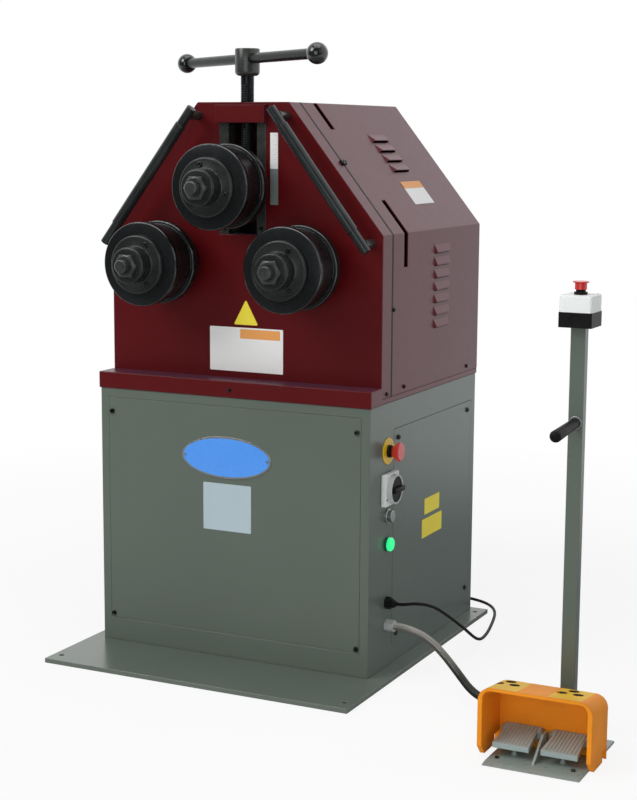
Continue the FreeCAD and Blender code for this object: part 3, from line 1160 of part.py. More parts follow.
def write_parts():
    """Check every object and write each sub-part under its name."""
    doc.recompute()
    faulty = [item.Name for item in doc.Objects if {"Invalid", "Error"} & set(item.State)]
    if faulty:
        raise RuntimeError("failed objects: " + ", ".join(faulty))
    for item in NODES:
        if item.Shape.isNull() or not item.Shape.isValid() or item.Shape.Volume <= 0:
            raise RuntimeError("bad shape: " + item.Label)
    for item in NODES:
        item.Shape.exportStep(f"parts/{item.Label}.step")
    print(len(NODES), "sub-parts written")


make_base()
make_cabinet()
make_head()
make_cover()
make_rollers()
make_gears()
make_drive()
make_slide()
make_rods()
make_controls()
make_cords()
make_station()
write_parts()
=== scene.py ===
"""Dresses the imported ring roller: finishes, screws, plates, cords, stage and camera."""

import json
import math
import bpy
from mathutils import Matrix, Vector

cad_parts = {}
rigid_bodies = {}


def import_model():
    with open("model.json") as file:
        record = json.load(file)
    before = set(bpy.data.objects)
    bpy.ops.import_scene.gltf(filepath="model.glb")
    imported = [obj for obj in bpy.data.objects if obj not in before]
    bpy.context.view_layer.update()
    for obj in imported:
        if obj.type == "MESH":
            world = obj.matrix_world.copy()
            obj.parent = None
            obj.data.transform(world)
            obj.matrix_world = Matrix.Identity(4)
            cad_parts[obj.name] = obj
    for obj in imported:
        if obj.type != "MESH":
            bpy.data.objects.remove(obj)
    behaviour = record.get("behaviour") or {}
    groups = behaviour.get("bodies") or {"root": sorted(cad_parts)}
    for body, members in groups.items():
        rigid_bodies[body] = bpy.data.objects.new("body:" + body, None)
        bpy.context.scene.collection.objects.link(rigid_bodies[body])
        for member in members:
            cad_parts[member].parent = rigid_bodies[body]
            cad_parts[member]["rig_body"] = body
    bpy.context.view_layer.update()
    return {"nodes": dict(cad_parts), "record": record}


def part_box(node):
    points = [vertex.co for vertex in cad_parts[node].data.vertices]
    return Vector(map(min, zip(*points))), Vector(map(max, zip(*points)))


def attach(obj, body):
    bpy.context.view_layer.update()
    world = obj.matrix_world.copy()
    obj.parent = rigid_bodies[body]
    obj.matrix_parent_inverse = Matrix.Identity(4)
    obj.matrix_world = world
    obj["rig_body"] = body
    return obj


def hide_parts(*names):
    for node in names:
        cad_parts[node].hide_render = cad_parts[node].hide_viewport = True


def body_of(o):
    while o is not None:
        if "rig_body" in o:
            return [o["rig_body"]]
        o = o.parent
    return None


bl_info = {
    "name": "Ring roller dressing",
    "version": (1, 0, 0),
    "blender": (4, 5, 0),
    "location": "View3D > Sidebar > Ring roller",
    "description": "Finishes and fits out a three-roller ring bending machine around its packed frame",
    "category": "Object",
}

import bmesh
import bpy
from mathutils import Matrix, Vector

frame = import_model()
FULL, QUARTER, SIXTH = 2 * math.pi, math.pi / 2, math.pi / 3
RIGHT, BACK, UP, FORWARD = (1, 0, 0), (0, 1, 0), (0, 0, 1), (0, -1, 0)


# ------------------------------------------------------------------ settings
def colour(name, description, default):
    """A colour setting."""
    return bpy.props.FloatVectorProperty(
        name=name, description=description, default=default, size=3, subtype="COLOR", min=0, max=1)


def length(name, description, default):
    """A size setting, in metres."""
    return bpy.props.FloatProperty(
        name=name, description=description, default=default, unit="LENGTH", precision=4)


def amount(name, description, default, unit="NONE"):
    """A setting that is a plain number, or an angle in radians."""
    return bpy.props.FloatProperty(name=name, description=description, default=default, unit=unit)


class RollerPaint(bpy.types.PropertyGroup):
    """Colours that an owner might order the machine in."""

    head: colour("Head", "Paint of the roller head", (0.105, 0.0040, 0.0055))
    cabinet: colour("Cabinet", "Paint of the cabinet", (0.119, 0.149, 0.121))
    steel: colour("Blackened steel", "Oiled black steel of small parts", (0.012, 0.014, 0.015))
    roller: colour("Roller steel", "Hardened steel of the rollers", (0.013, 0.0155, 0.0165))
    guard: colour("Pedal guard", "Paint of the pedal guard", (0.93, 0.315, 0.020))
    lamp: colour("Lamp", "Colour of the lit signal lamp", (0.02, 0.90, 0.28))
    badge: colour("Oval plate", "Face of the blank oval plate", (0.08, 0.34, 0.97))
    lead: colour("Mains lead", "Sheath of the mains lead", (0.007, 0.007, 0.008))


class RollerTrim(bpy.types.PropertyGroup):
    """Sizes of the small fittings."""

    screw: length("Screw head", "Radius of the cover screws' heads", 0.0055)
    cap: length("Collar bolt", "Radius of the roller collar bolts' heads", 0.0058)
    plate: length("Plate", "Thickness of the blank plates", 0.0006)
    thread: length("Thread pitch", "Pitch of the press screw's thread", 0.005)
    hose_pitch: length("Hose pitch", "Pitch of the hose's rings", 0.0032)


class RollerStage(bpy.types.PropertyGroup):
    """Camera and light."""

    camera_at: bpy.props.FloatVectorProperty(
        name="Camera", description="Place of the camera", size=3, unit="LENGTH",
        default=(1.70493, -3.37394, 1.13084))
    yaw: amount("Yaw", "Camera turn to the left", math.radians(25.974), "ROTATION")
    pitch: amount("Pitch", "Camera tilt downwards", math.radians(8.977), "ROTATION")
    roll: amount("Roll", "Camera roll", math.radians(0.354), "ROTATION")
    lens: amount("Lens", "Focal length in millimetres", 75.49)
    key: amount("Key", "Power of the key light in watts", 118.0)
    fill: amount("Fill", "Power of the fill light in watts", 6.5)
    front: amount("Front", "Power of the light in front in watts", 34.0)
    top: amount("Top", "Power of the light overhead in watts", 40.0)
    world: amount("World", "Strength of the room light", 0.34)
    room: amount("Room", "Brightness of the room behind the camera", 0.07)


def settings():
    """The three groups of settings of this scene."""
    scene = bpy.context.scene
    return scene.roller_paint, scene.roller_trim, scene.roller_stage


# ------------------------------------------------------------------ small tools
def choose(thing, **choices):
    """Set several values of a thing at once, and give it back."""
    for name, value in choices.items():
        setattr(thing, name, value)
    return thing


def linked(name, data):
    """A new object of the scene that holds a mesh, a curve, a lamp or a camera."""
    item = bpy.data.objects.new(name, data)
    bpy.context.scene.collection.objects.link(item)
    return item


# ------------------------------------------------------------------ node tools
def put(tree, socket, value):
    """Join an input to a node's output, or set its value; None leaves it as it is."""
    if isinstance(value, bpy.types.NodeSocket):
        tree.links.new(value, socket)
    elif value is not None:
        socket.default_value = value


def fill(tree, sockets, values):
    """Join or set several inputs by name or number."""
    for key, value in values.items():
        put(tree, sockets[key], value)


def add(tree, kind, inputs=None, **choices):
    """A new node with its choices made and its inputs joined or set."""
    node = choose(tree.nodes.new(kind), **choices)
    fill(tree, node.inputs, inputs or {})
    return node


def maths(tree, operation, first, second=None, clamp=False):
    """The result of a math node."""
    return add(tree, "ShaderNodeMath", {0: first, 1: second}, operation=operation, use_clamp=clamp).outputs[0]


def times(tree, first, *others):
    """The product of several values."""
    for other in others:
        first = maths(tree, "MULTIPLY", first, other)
    return first


def ramp(tree, value, start, reach):
    """Zero below the start, one from start plus reach on, even in between."""
    return maths(tree, "DIVIDE", maths(tree, "SUBTRACT", value, start), reach, True)


def apart(tree, value, middle):
    """How far a value lies from a middle."""
    return maths(tree, "ABSOLUTE", maths(tree, "SUBTRACT", value, middle))


def mix_colour(tree, factor, first, second):
    """A colour mix."""
    return add(tree, "ShaderNodeMix", {0: factor, 6: first, 7: second}, data_type="RGBA").outputs[2]


def parts_of(tree, vector):
    """X, Y and Z of a vector."""
    return add(tree, "ShaderNodeSeparateXYZ", {0: vector}).outputs


def object_place(tree):
    """Where a surface point lies on its piece."""
    return tree.nodes.new("ShaderNodeTexCoord").outputs["Object"]


def new_group(name, kind, inputs, outputs):
    """A node group with named sockets: its tree, what it takes and what it gives."""
    tree = bpy.data.node_groups.new(name, kind)
    for label, form, default in inputs:
        socket = tree.interface.new_socket(name=label, in_out="INPUT", socket_type="NodeSocket" + form)
        if default is not None:
            socket.default_value = default
    for label, form in outputs:
        tree.interface.new_socket(name=label, in_out="OUTPUT", socket_type="NodeSocket" + form)
    return tree, tree.nodes.new("NodeGroupInput").outputs, tree.nodes.new("NodeGroupOutput").inputs


# ------------------------------------------------------------------ finishes
def worn_group():
    """Shared wear: mottled colour, rubbed edges, fine grain and soft corners."""
    tree = bpy.data.node_groups.get("Worn surface")
    if tree:
        return tree
    tree, take, give = new_group("Worn surface", "ShaderNodeTree", (
        ("Colour", "Color", (0.5, 0.5, 0.5, 1)), ("Rubbed colour", "Color", (0.6, 0.6, 0.6, 1)),
        ("Mottle", "Float", 0.1), ("Mottle scale", "Float", 6.0), ("Grain", "Float", 0.1),
        ("Grain scale", "Float", 400.0), ("Edge width", "Float", 0.002), ("Edge rub", "Float", 0.2),
        ("Roughness", "Float", 0.4), ("Smear", "Float", 0.08)),
        (("Colour", "Color"), ("Roughness", "Float"), ("Normal", "Vector"), ("Edge", "Float")))
    place = object_place(tree)
    scuff_scale, scuff_share, edge_gain, grain_depth = 45, 0.46, 9.0, 0.0004

    def noise(scale, detail):
        """Clouds on the piece, from zero to one."""
        inputs = {"Vector": place, "Scale": scale, "Detail": detail}
        return add(tree, "ShaderNodeTexNoise", inputs).outputs["Fac"]

    def swing(value, share):
        """A noise about zero, with a share as its strength."""
        return maths(tree, "MULTIPLY", maths(tree, "SUBTRACT", value, 0.5), share)

    cloud, grain, scuff = noise(take["Mottle scale"], 3), noise(take["Grain scale"], 2), noise(scuff_scale, 4)
    soft = add(tree, "ShaderNodeBevel", {"Radius": take["Edge width"]}, samples=4).outputs[0]
    flat = tree.nodes.new("ShaderNodeNewGeometry").outputs["Normal"]
    alike = add(tree, "ShaderNodeVectorMath", {0: soft, 1: flat}, operation="DOT_PRODUCT").outputs["Value"]
    bend = maths(tree, "MULTIPLY", maths(tree, "SUBTRACT", 1.0, alike), edge_gain, True)
    patchy = maths(tree, "MULTIPLY", bend, maths(tree, "GREATER_THAN", scuff, scuff_share))
    edge = maths(tree, "MULTIPLY", patchy, take["Edge rub"], True)
    gain = maths(tree, "ADD", 1.0, maths(tree, "MULTIPLY", swing(cloud, take["Mottle"]), 2.0))
    scaled = {0: take["Colour"], "Scale": gain}
    tinted = add(tree, "ShaderNodeVectorMath", scaled, operation="SCALE").outputs[0]
    bump = add(tree, "ShaderNodeBump", {"Distance": grain_depth, "Strength": take["Grain"], "Height": grain,
                                        "Normal": soft}).outputs[0]
    fill(tree, give, {"Colour": mix_colour(tree, edge, tinted, take["Rubbed colour"]),
                      "Roughness": maths(tree, "ADD", take["Roughness"], swing(scuff, take["Smear"]), True),
                      "Normal": bump, "Edge": edge})
    return tree


def guard_patches_and_hole_shade(tree):
    """Yellow fields around the hole groups in the guard's roof, and painted shade on the holes' upright
    walls.
    """
    low, high = span("foot_guard")
    place = parts_of(tree, object_place(tree))
    facing = parts_of(tree, tree.nodes.new("ShaderNodeNewGeometry").outputs["True Normal"])
    guard_middle, roof_middle, field_offset = low.x + 0.101, low.y + 0.052, 0.0605
    half_deep, half_field, half_walls, band = 0.046, 0.0315, 0.0275, 0.030
    across = apart(tree, apart(tree, place["X"], guard_middle), field_offset)
    near = maths(tree, "LESS_THAN", apart(tree, place["Y"], roof_middle), half_deep)
    roof = maths(tree, "GREATER_THAN", facing["Z"], 0.8)
    field = times(tree, maths(tree, "LESS_THAN", across, half_field), times(tree, near, roof))
    # painted shade: the holes' upright walls inside the fields are coloured near black
    upright = times(tree, maths(tree, "LESS_THAN", maths(tree, "ABSOLUTE", facing["Z"]), 0.5),
                    maths(tree, "GREATER_THAN", place["Z"], high.z - band))
    walls = times(tree, upright, times(tree, maths(tree, "LESS_THAN", across, half_walls), near))
    return (field, (0.86, 0.52, 0.045, 1)), (walls, (0.05, 0.05, 0.03, 1))


def hose_darker_towards_station(tree):
    """The hose is coloured darker from the wall gland towards the foot station."""
    dark_start, dark_reach = 0.38, 0.15
    darker_share = ramp(tree, parts_of(tree, object_place(tree))["X"], dark_start, dark_reach)
    return (darker_share, (0.040, 0.040, 0.035, 1)),


def painted_hood_highlight(tree):
    """Painted highlight: the upward faces of the rear cover's drawn louvre hoods are coloured paler than the
    flat sheet around them.
    """
    place = parts_of(tree, object_place(tree))
    facing = parts_of(tree, tree.nodes.new("ShaderNodeNewGeometry").outputs["True Normal"])
    out = maths(tree, "ABSOLUTE", place["X"])
    slope = maths(tree, "ADD", times(tree, out, SLOPE_OUT.x), times(tree, place["Z"], SLOPE_OUT.z))
    rise = maths(tree, "MAXIMUM", maths(tree, "SUBTRACT", out, SHOULDER.x),
                 maths(tree, "SUBTRACT", slope, TOP_EDGE.dot(SLOPE_OUT)))
    flank = maths(tree, "SUBTRACT", 1.0, maths(tree, "ABSOLUTE", facing["Y"]), True)
    upward = maths(tree, "GREATER_THAN", facing["Z"], 0.15)
    flat_sheet, full_hood = 0.0002, 0.0012
    hood = times(tree, ramp(tree, rise, flat_sheet, full_hood), upward, flank)
    # painted highlight colour of the hoods' upward faces
    return (hood, (0.17, 0.050, 0.058, 1)),


# Colour masks of some looks: painted shade in the guard's holes, a painted highlight on the cover's hoods,
# the hose darker towards the station.
REPAINTS = {"orange_paint": guard_patches_and_hole_shade, "hose_metal": hose_darker_towards_station, "cover_paint_hood_highlight": painted_hood_highlight}
# A base colour is a setting's name or plain red, green, blue.
FINISHES = {
    # look             base colour            rough metal mottle, scale grain, scale edge  rub   smear
    "red_paint":       ("head",                0.30, 0.0, 0.08, 6, 0.10, 160, 0.0025, 0.25, 0.08),
    "cover_paint_hood_highlight":     ("head",                0.30, 0.0, 0.08, 6, 0.10, 160, 0.0025, 0.25, 0.08),
    "grey_paint":      ("cabinet",             0.30, 0.0, 0.08, 3, 0.10, 220, 0.002, 0.25, 0.08),
    # the base plate's paint: the cabinet's grey made a little paler as painted light, and glossier
    "plate_paint_lit":     ((0.128, 0.158, 0.132), 0.25, 0.0, 0.10, 4, 0.10, 220, 0.002, 0.3, 0.08),
    "black_steel":     ("steel",               0.30, 0.75, 0.35, 18, 0.12, 700, 0.0012, 0.55, 0.25),
    "roller_steel":    ("roller",              0.28, 0.5, 0.12, 14, 0.10, 700, 0.0012, 0.35, 0.15),
    "collar_steel":    ((0.030, 0.034, 0.033), 0.27, 0.5, 0.35, 24, 0.12, 700, 0.0012, 0.35, 0.2),
    "nut_steel":       ((0.062, 0.070, 0.064), 0.28, 0.5, 0.45, 40, 0.12, 700, 0.0012, 0.35, 0.2),
    "rod_steel":       ((0.050, 0.056, 0.057), 0.22, 0.6, 0.3, 20, 0.08, 700, 0.001, 0.3, 0.2),
    "press_steel":     ((0.018, 0.021, 0.022), 0.24, 0.6, 0.3, 20, 0.08, 700, 0.001, 0.25, 0.15),
    "knob_black":      ((0.010, 0.012, 0.013), 0.16, 0.0, 0.1, 6, 0.02, 400, 0.0006, 0.0, 0.05),
    "rim_steel":       ((0.13, 0.135, 0.138),  0.13, 1.0, 0.6, 22, 0.04, 400, 0.0003, 0.0, 0.2),
    "steel":           ((0.45, 0.45, 0.44),    0.32, 1.0, 0.12, 6, 0.1, 900, 0.0015, 0.15, 0.08),
    "bronze":          ((0.45, 0.27, 0.09),    0.35, 1.0, 0.12, 6, 0.1, 700, 0.0015, 0.15, 0.08),
    "cast_iron":       ((0.36, 0.45, 0.44),    0.45, 0.0, 0.12, 6, 0.35, 900, 0.001, 0.3, 0.08),
    "switch_grey":     ((0.52, 0.56, 0.56),    0.40, 0.0, 0.06, 6, 0.1, 400, 0.001, 0.0, 0.08),
    "lamp_rim":        ((0.012, 0.10, 0.055),  0.30, 0.0, 0.1, 6, 0.1, 400, 0.0006, 0.0, 0.08),
    "button_metal":    ((0.36, 0.39, 0.39),    0.35, 1.0, 0.1, 6, 0.02, 400, 0.0006, 0.0, 0.08),
    "scale":           ((0.20, 0.235, 0.23),   0.36, 0.0, 0.10, 6, 0.1, 400, 0.0004, 0.0, 0.08),
    "station_grey":    ((0.29, 0.36, 0.34),    0.28, 0.0, 0.04, 12, 0.10, 300, 0.0015, 0.3, 0.08),
    "gland_metal":     ((0.68, 0.72, 0.70),    0.30, 0.45, 0.2, 60, 0.1, 400, 0.001, 0.0, 0.08),
    "yellow_plastic":  ((0.88, 0.58, 0.01),    0.35, 0.0, 0.04, 6, 0.1, 400, 0.0006, 0.0, 0.08),
    "black_plastic":   ((0.010, 0.010, 0.011), 0.40, 0.0, 0.10, 6, 0.2, 1500, 0.0008, 0.2, 0.03),
    "red_plastic":     ((0.64, 0.030, 0.028),  0.26, 0.0, 0.05, 6, 0.03, 400, 0.0008, 0.0, 0.08),
    "light_plastic":   ((0.86, 0.90, 0.89),    0.42, 0.0, 0.03, 6, 0.2, 1200, 0.0015, 0.0, 0.08),
    "chrome":          ((0.60, 0.61, 0.60),    0.28, 1.0, 0.05, 6, 0.02, 400, 0.0006, 0.15, 0.08),
    "green_lens":      ("lamp",                0.20, 0.0, 0.1, 6, 0.1, 400, 0.001, 0.0, 0.08),
    "cord_black":      ("lead",                0.50, 0.0, 0.1, 6, 0.2, 900, 0.0004, 0.0, 0.08),
    "hose_metal":      ((0.40, 0.39, 0.36),    0.38, 0.85, 0.15, 60, 0.1, 1200, 0.0003, 0.1, 0.08),
    "orange_paint":    ("guard",               0.42, 0.0, 0.16, 14, 0.45, 420, 0.003, 0.2, 0.08),
    "plate_white":     ((0.90, 0.91, 0.90),    0.38, 0.0, 0.04, 6, 0.1, 400, 0.0003, 0.0, 0.08),
    "plate_orange":    ((0.90, 0.40, 0.12),    0.38, 0.0, 0.04, 6, 0.1, 400, 0.0003, 0.0, 0.08),
    "plate_yellow":    ((1.0, 0.84, 0.07),     0.38, 0.0, 0.05, 6, 0.1, 400, 0.0003, 0.0, 0.08),
    "plate_blue":      ("badge",               0.28, 0.0, 0.08, 6, 0.1, 400, 0.0003, 0.0, 0.08),
    "plate_grey":      ((0.46, 0.57, 0.62),    0.36, 0.0, 0.08, 6, 0.1, 400, 0.0003, 0.1, 0.08),
}
SPECULAR = {"red_paint": 0.28, "cover_paint_hood_highlight": 0.28, "grey_paint": 0.45, "plate_paint_lit": 0.95,
            "press_steel": 0.1, "black_plastic": 0.1, "cord_black": 0.15, "orange_paint": 0.08,
            "plate_orange": 0.2, "plate_yellow": 0.2}
COAT = {"knob_black": 0.6, "red_plastic": 0.3, "green_lens": 0.5, "plate_blue": 0.4}
HAZE = {"red_paint": (0.15, 0.45, 1.0), "cover_paint_hood_highlight": (0.15, 0.45, 1.0), "grey_paint": (0.1, 0.5, 1.0)}
GLOW = {"green_lens": 0.7}
RUBBED = {"red_paint": (0.16, 0.03, 0.03), "cover_paint_hood_highlight": (0.16, 0.03, 0.03),
          "grey_paint": (0.20, 0.23, 0.21), "plate_paint_lit": (0.22, 0.25, 0.23), "steel": (0.7, 0.7, 0.7),
          "cast_iron": (0.42, 0.42, 0.38), "station_grey": (0.40, 0.42, 0.40),
          "black_plastic": (0.05, 0.05, 0.05), "hose_metal": (0.5, 0.49, 0.45),
          "orange_paint": (0.85, 0.35, 0.08)}
for dark_steel in ("black_steel", "roller_steel", "collar_steel", "nut_steel", "rod_steel", "press_steel"):
    RUBBED[dark_steel] = (0.42, 0.42, 0.41)


def finish(look):
    """The material of a look, made once of the shared wear group and one principled shader."""
    title = look + "_finish"
    material = bpy.data.materials.get(title)
    if material:
        return material
    base, rough, metal, mottle, mottle_scale, grain, grain_scale, edge, rub, smear = FINISHES[look]
    if isinstance(base, str):
        base = getattr(settings()[0], base)
    material = bpy.data.materials.new(title)
    material.use_nodes = True
    tree = material.node_tree
    tint = (*base, 1)
    for mask, over in REPAINTS.get(look, lambda _: ())(tree):
        tint = mix_colour(tree, mask, tint, over)
    worn = add(tree, "ShaderNodeGroup", {
        "Colour": tint, "Rubbed colour": (*RUBBED.get(look, base), 1), "Mottle": mottle,
        "Mottle scale": mottle_scale, "Grain": grain, "Grain scale": grain_scale, "Edge width": edge,
        "Edge rub": rub, "Roughness": rough, "Smear": smear}, node_tree=worn_group()).outputs
    shader = tree.nodes["Principled BSDF"].inputs
    fill(tree, shader, {"Metallic": metal, "Coat Weight": COAT.get(look, 0.0), "Coat Roughness": 0.12,
                        "Specular IOR Level": SPECULAR.get(look, 0.5), "Base Color": worn["Colour"],
                        "Roughness": worn["Roughness"], "Normal": worn["Normal"]})
    if look in HAZE:
        fill(tree, shader, {"Sheen Weight": 0.10, "Sheen Roughness": 0.4, "Sheen Tint": (*HAZE[look], 1)})
    if look in GLOW:
        fill(tree, shader, {"Emission Color": worn["Colour"], "Emission Strength": GLOW[look]})
    return material


# ------------------------------------------------------------------ mesh tools
def new_piece(name, mesh, look, body="root", stands_for=None):
    """Link a finished mesh, give it its look and let it ride on a body."""
    piece = linked(name, mesh)
    mesh.materials.clear()
    mesh.materials.append(finish(look))
    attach(piece, body)
    if stands_for:
        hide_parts(stands_for)
    return piece


def mesh_from(shape, name, smooth=35):
    """A mesh from a bmesh, with smooth shading below the given angle."""
    bmesh.ops.recalc_face_normals(shape, faces=shape.faces)
    mesh = bpy.data.meshes.new(name)
    shape.to_mesh(mesh)
    shape.free()
    mesh.shade_smooth()
    mesh.set_sharp_from_angle(angle=math.radians(smooth))
    return mesh


def bridge(shape, rings):
    """Faces between rings of vertices that follow one another; a ring of one vertex is a tip."""
    for low, high in zip(rings, rings[1:]):
        count = max(len(low), len(high))
        for step in range(count):
            following = (step + 1) % count
            corners = (low[step % len(low)], low[following % len(low)], high[following % len(high)],
                       high[step % len(high)])
            if count > 1:
                shape.faces.new(tuple(dict.fromkeys(corners)))


def ring_of(shape, count, place):
    """One ring of new vertices, with a place for each angle."""
    return [shape.verts.new(place(FULL * step / count)) for step in range(count)]


def lathe(profile, segments, centre, axis, ripple=None):
    """Rings of (radius, distance along) turned about an axis, closed where a radius is zero."""
    shape = bmesh.new()
    turn = Vector(UP).rotation_difference(Vector(axis)).to_matrix()

    def place(radius, along, angle):
        """Where a point of the turned surface lies."""
        size = radius + (ripple(radius, along, angle) if ripple else 0)
        return Vector(centre) + turn @ Vector((size * math.cos(angle), size * math.sin(angle), along))

    bridge(shape, [ring_of(shape, segments if radius > 1e-7 else 1, lambda angle: place(radius, along, angle))
                   for radius, along in profile])
    return shape


def turned(name, profile, segments, centre, axis, look, body="root", stands_for=None, ripple=None,
           smooth=35):
    """A piece turned from a profile."""
    mesh = mesh_from(lathe(profile, segments, centre, axis, ripple), name, smooth)
    return new_piece(name, mesh, look, body, stands_for)


def arc(out, along, radius, angles):
    """Points of a rounded corner in a turned profile."""
    return [(out + radius * math.cos(angle), along + radius * math.sin(angle)) for angle in angles]


def sleeve(bore, outer, low, high, cut, drop=None):
    """Profile of a plain ring or disc whose far rim is cut off."""
    return [(bore, low), (outer, low), (outer, high - (drop or cut)), (outer - cut, high), (bore, high)]


def rounded_outline(corners, radius, steps=5):
    """A flat outline with each corner rounded."""
    points = []
    for index, corner in enumerate(corners):
        here = Vector(corner)
        before = Vector(corners[index - 1]) - here
        after = Vector(corners[(index + 1) % len(corners)]) - here
        reach = min(radius / math.tan(before.angle(after) / 2), before.length / 2.01, after.length / 2.01)
        start, stop = here + before.normalized() * reach, here + after.normalized() * reach
        for share in (step / steps for step in range(steps + 1)):
            points.append((1 - share) ** 2 * start + 2 * share * (1 - share) * here + share ** 2 * stop)
    return points


def box_outline(x_low, z_low, x_high, z_high, radius=0.002):
    """The rounded outline of an upright rectangle."""
    return rounded_outline([(x_low, z_low), (x_high, z_low), (x_high, z_high), (x_low, z_high)], radius)


def ellipse(half_wide, half_high, steps=64):
    """The outline of an upright ellipse about zero."""
    return [Vector((half_wide * math.cos(angle), half_high * math.sin(angle)))
            for angle in (FULL * step / steps for step in range(steps))]


def plate_piece(name, outline, origin, across, up, thickness, look):
    """A thin plate with a softened rim."""
    across, up = Vector(across).normalized(), Vector(up).normalized()
    out = across.cross(up)
    soften = min(thickness * 0.4, 0.0004)
    shape = bmesh.new()
    outline = [Vector(point) for point in outline]
    centre = sum(outline, Vector((0, 0))) / len(outline)
    inner = [centre + (p - centre) * (1 - soften / max((p - centre).length, 1e-6)) for p in outline]
    rows = [[shape.verts.new(Vector(origin) + across * p[0] + up * p[1] + out * height) for p in points]
            for points, height in ((outline, 0), (outline, thickness - soften), (inner, thickness))]
    bridge(shape, rows)
    shape.faces.new(rows[-1])
    shape.faces.new(list(reversed(rows[0])))
    return new_piece(name, mesh_from(shape, name), look, "root")


def block(low, high):
    """A sharp block between two corners."""
    shape = bmesh.new()
    bmesh.ops.create_cube(shape, size=1)
    for vertex in shape.verts:
        vertex.co = (low + high) / 2 + Vector(a * (b - c) for a, b, c in zip(vertex.co, high, low))
    return shape


def round_edges(shape, edges, radius, segments=3):
    """Round some edges of a shape."""
    bmesh.ops.bevel(shape, geom=edges, offset=radius, segments=segments, profile=0.5, affect="EDGES")


def drawn_hoods(shape):
    """Lower the louvre hoods a little and slant their ends, as drawn sheet leaves them."""
    for vertex in shape.verts:
        place = vertex.co
        flip = Vector((-1, 1, 1)) if place.x < 0 else Vector((1, 1, 1))
        mirrored = place * flip
        rises = ((mirrored.x - SHOULDER.x, Vector(RIGHT)), ((mirrored - TOP_EDGE).dot(SLOPE_OUT), SLOPE_OUT))
        rise, out = max(rises, key=lambda pair: pair[0])
        if rise < 0.0002 or place.y > COVER_HIGH.y - 0.01:
            continue
        mirrored -= out * rise * HOOD_LOWERED
        mirrored.y += math.copysign(HOOD_SLANT * rise, HOOD_MIDDLE - mirrored.y)
        vertex.co = mirrored * flip


def evaluated_mesh(piece):
    """A new mesh of what modifiers or curve settings make of a piece."""
    return bpy.data.meshes.new_from_object(piece.evaluated_get(bpy.context.evaluated_depsgraph_get()))


def bake(piece, name, kind, **choices):
    """Put a modifier's result in the piece's own mesh."""
    choose(piece.modifiers.new(name, kind), **choices)
    baked = evaluated_mesh(piece)
    piece.modifiers.clear()
    piece.data = baked


def dressed_copy(node, bevel, look, reshape=None):
    """A merged copy of a CAD node with truly rounded edges, which stands for it."""
    source = frame["nodes"][node]
    shape = bmesh.new()
    shape.from_mesh(source.data)
    bmesh.ops.remove_doubles(shape, verts=shape.verts, dist=1e-6)
    bmesh.ops.dissolve_limit(shape, angle_limit=math.radians(1.0), verts=shape.verts, edges=shape.edges)
    mesh = bpy.data.meshes.new(node + "_dressed")
    shape.to_mesh(mesh)
    shape.free()
    mesh.shade_smooth()
    piece = new_piece(node + "_dressed", mesh, look, body_of(source)[0], node)
    bake(piece, "Soft edges", "BEVEL", width=bevel, segments=2, limit_method="ANGLE",
         angle_limit=math.radians(30))
    if reshape:
        shape = bmesh.new()
        shape.from_mesh(piece.data)
        reshape(shape)
        shape.to_mesh(piece.data)
        shape.free()
    bake(piece, "Flat faces", "WEIGHTED_NORMAL", mode="FACE_AREA", weight=100)


# ------------------------------------------------------------------ screw heads by geometry nodes
def screw_head_mesh():
    """One cap screw head of unit radius with a hexagon socket, its seat at zero."""
    sides, socket = 24, 0.56

    def six_sided(radius, along, angle):
        """What makes the socket's rings hexagons."""
        flat = math.cos(SIXTH / 2) / math.cos(angle % SIXTH - SIXTH / 2)
        return radius * (flat - 1) if radius <= socket else 0

    profile = ((0.94, -0.05), (1.0, 0.05), (1.0, 0.55), (0.90, 0.72), (0.62, 0.78), (socket, 0.76),
               (0.54, 0.30))
    shape = lathe(profile, sides, (0, 0, 0), UP, six_sided)
    corners = list(shape.verts)
    shape.faces.new(corners[-sides:])
    shape.faces.new(corners[sides - 1::-1])
    return mesh_from(shape, "screw_head")


def scatter_tree():
    """Node tree that puts one head on every point, turned along the point's facing."""
    tree = bpy.data.node_groups.get("Place heads")
    if tree:
        return tree
    tree, take, give = new_group("Place heads", "GeometryNodeTree", (
        ("Geometry", "Geometry", None), ("Head", "Object", None), ("Radius", "Float", 0.005),
        ("Spin", "Float", 0.9), ("Seed", "Int", 7), ("Material", "Material", None)),
        (("Geometry", "Geometry"),))
    points = add(tree, "GeometryNodeMeshToPoints", {"Mesh": take["Geometry"]})
    facing = add(tree, "GeometryNodeInputNamedAttribute", {"Name": "facing"}, data_type="FLOAT_VECTOR")
    aim = add(tree, "FunctionNodeAlignRotationToVector", {"Vector": facing.outputs["Attribute"]}, axis="Z")
    chance = add(tree, "FunctionNodeRandomValue", {"Max": take["Spin"], "Seed": take["Seed"]})
    twist = add(tree, "FunctionNodeAxisAngleToRotation", {"Axis": UP, "Angle": chance.outputs["Value"]})
    turn = add(tree, "FunctionNodeRotateRotation", {0: aim.outputs[0], 1: twist.outputs[0]},
               rotation_space="LOCAL")
    head = add(tree, "GeometryNodeObjectInfo", {"Object": take["Head"]})
    placed = add(tree, "GeometryNodeInstanceOnPoints", {
        "Points": points.outputs[0], "Instance": head.outputs["Geometry"], "Rotation": turn.outputs[0],
        "Scale": take["Radius"]})
    real = add(tree, "GeometryNodeRealizeInstances", {0: placed.outputs[0]})
    coat = add(tree, "GeometryNodeSetMaterial", {"Geometry": real.outputs[0], "Material": take["Material"]})
    put(tree, give[0], coat.outputs[0])
    return tree


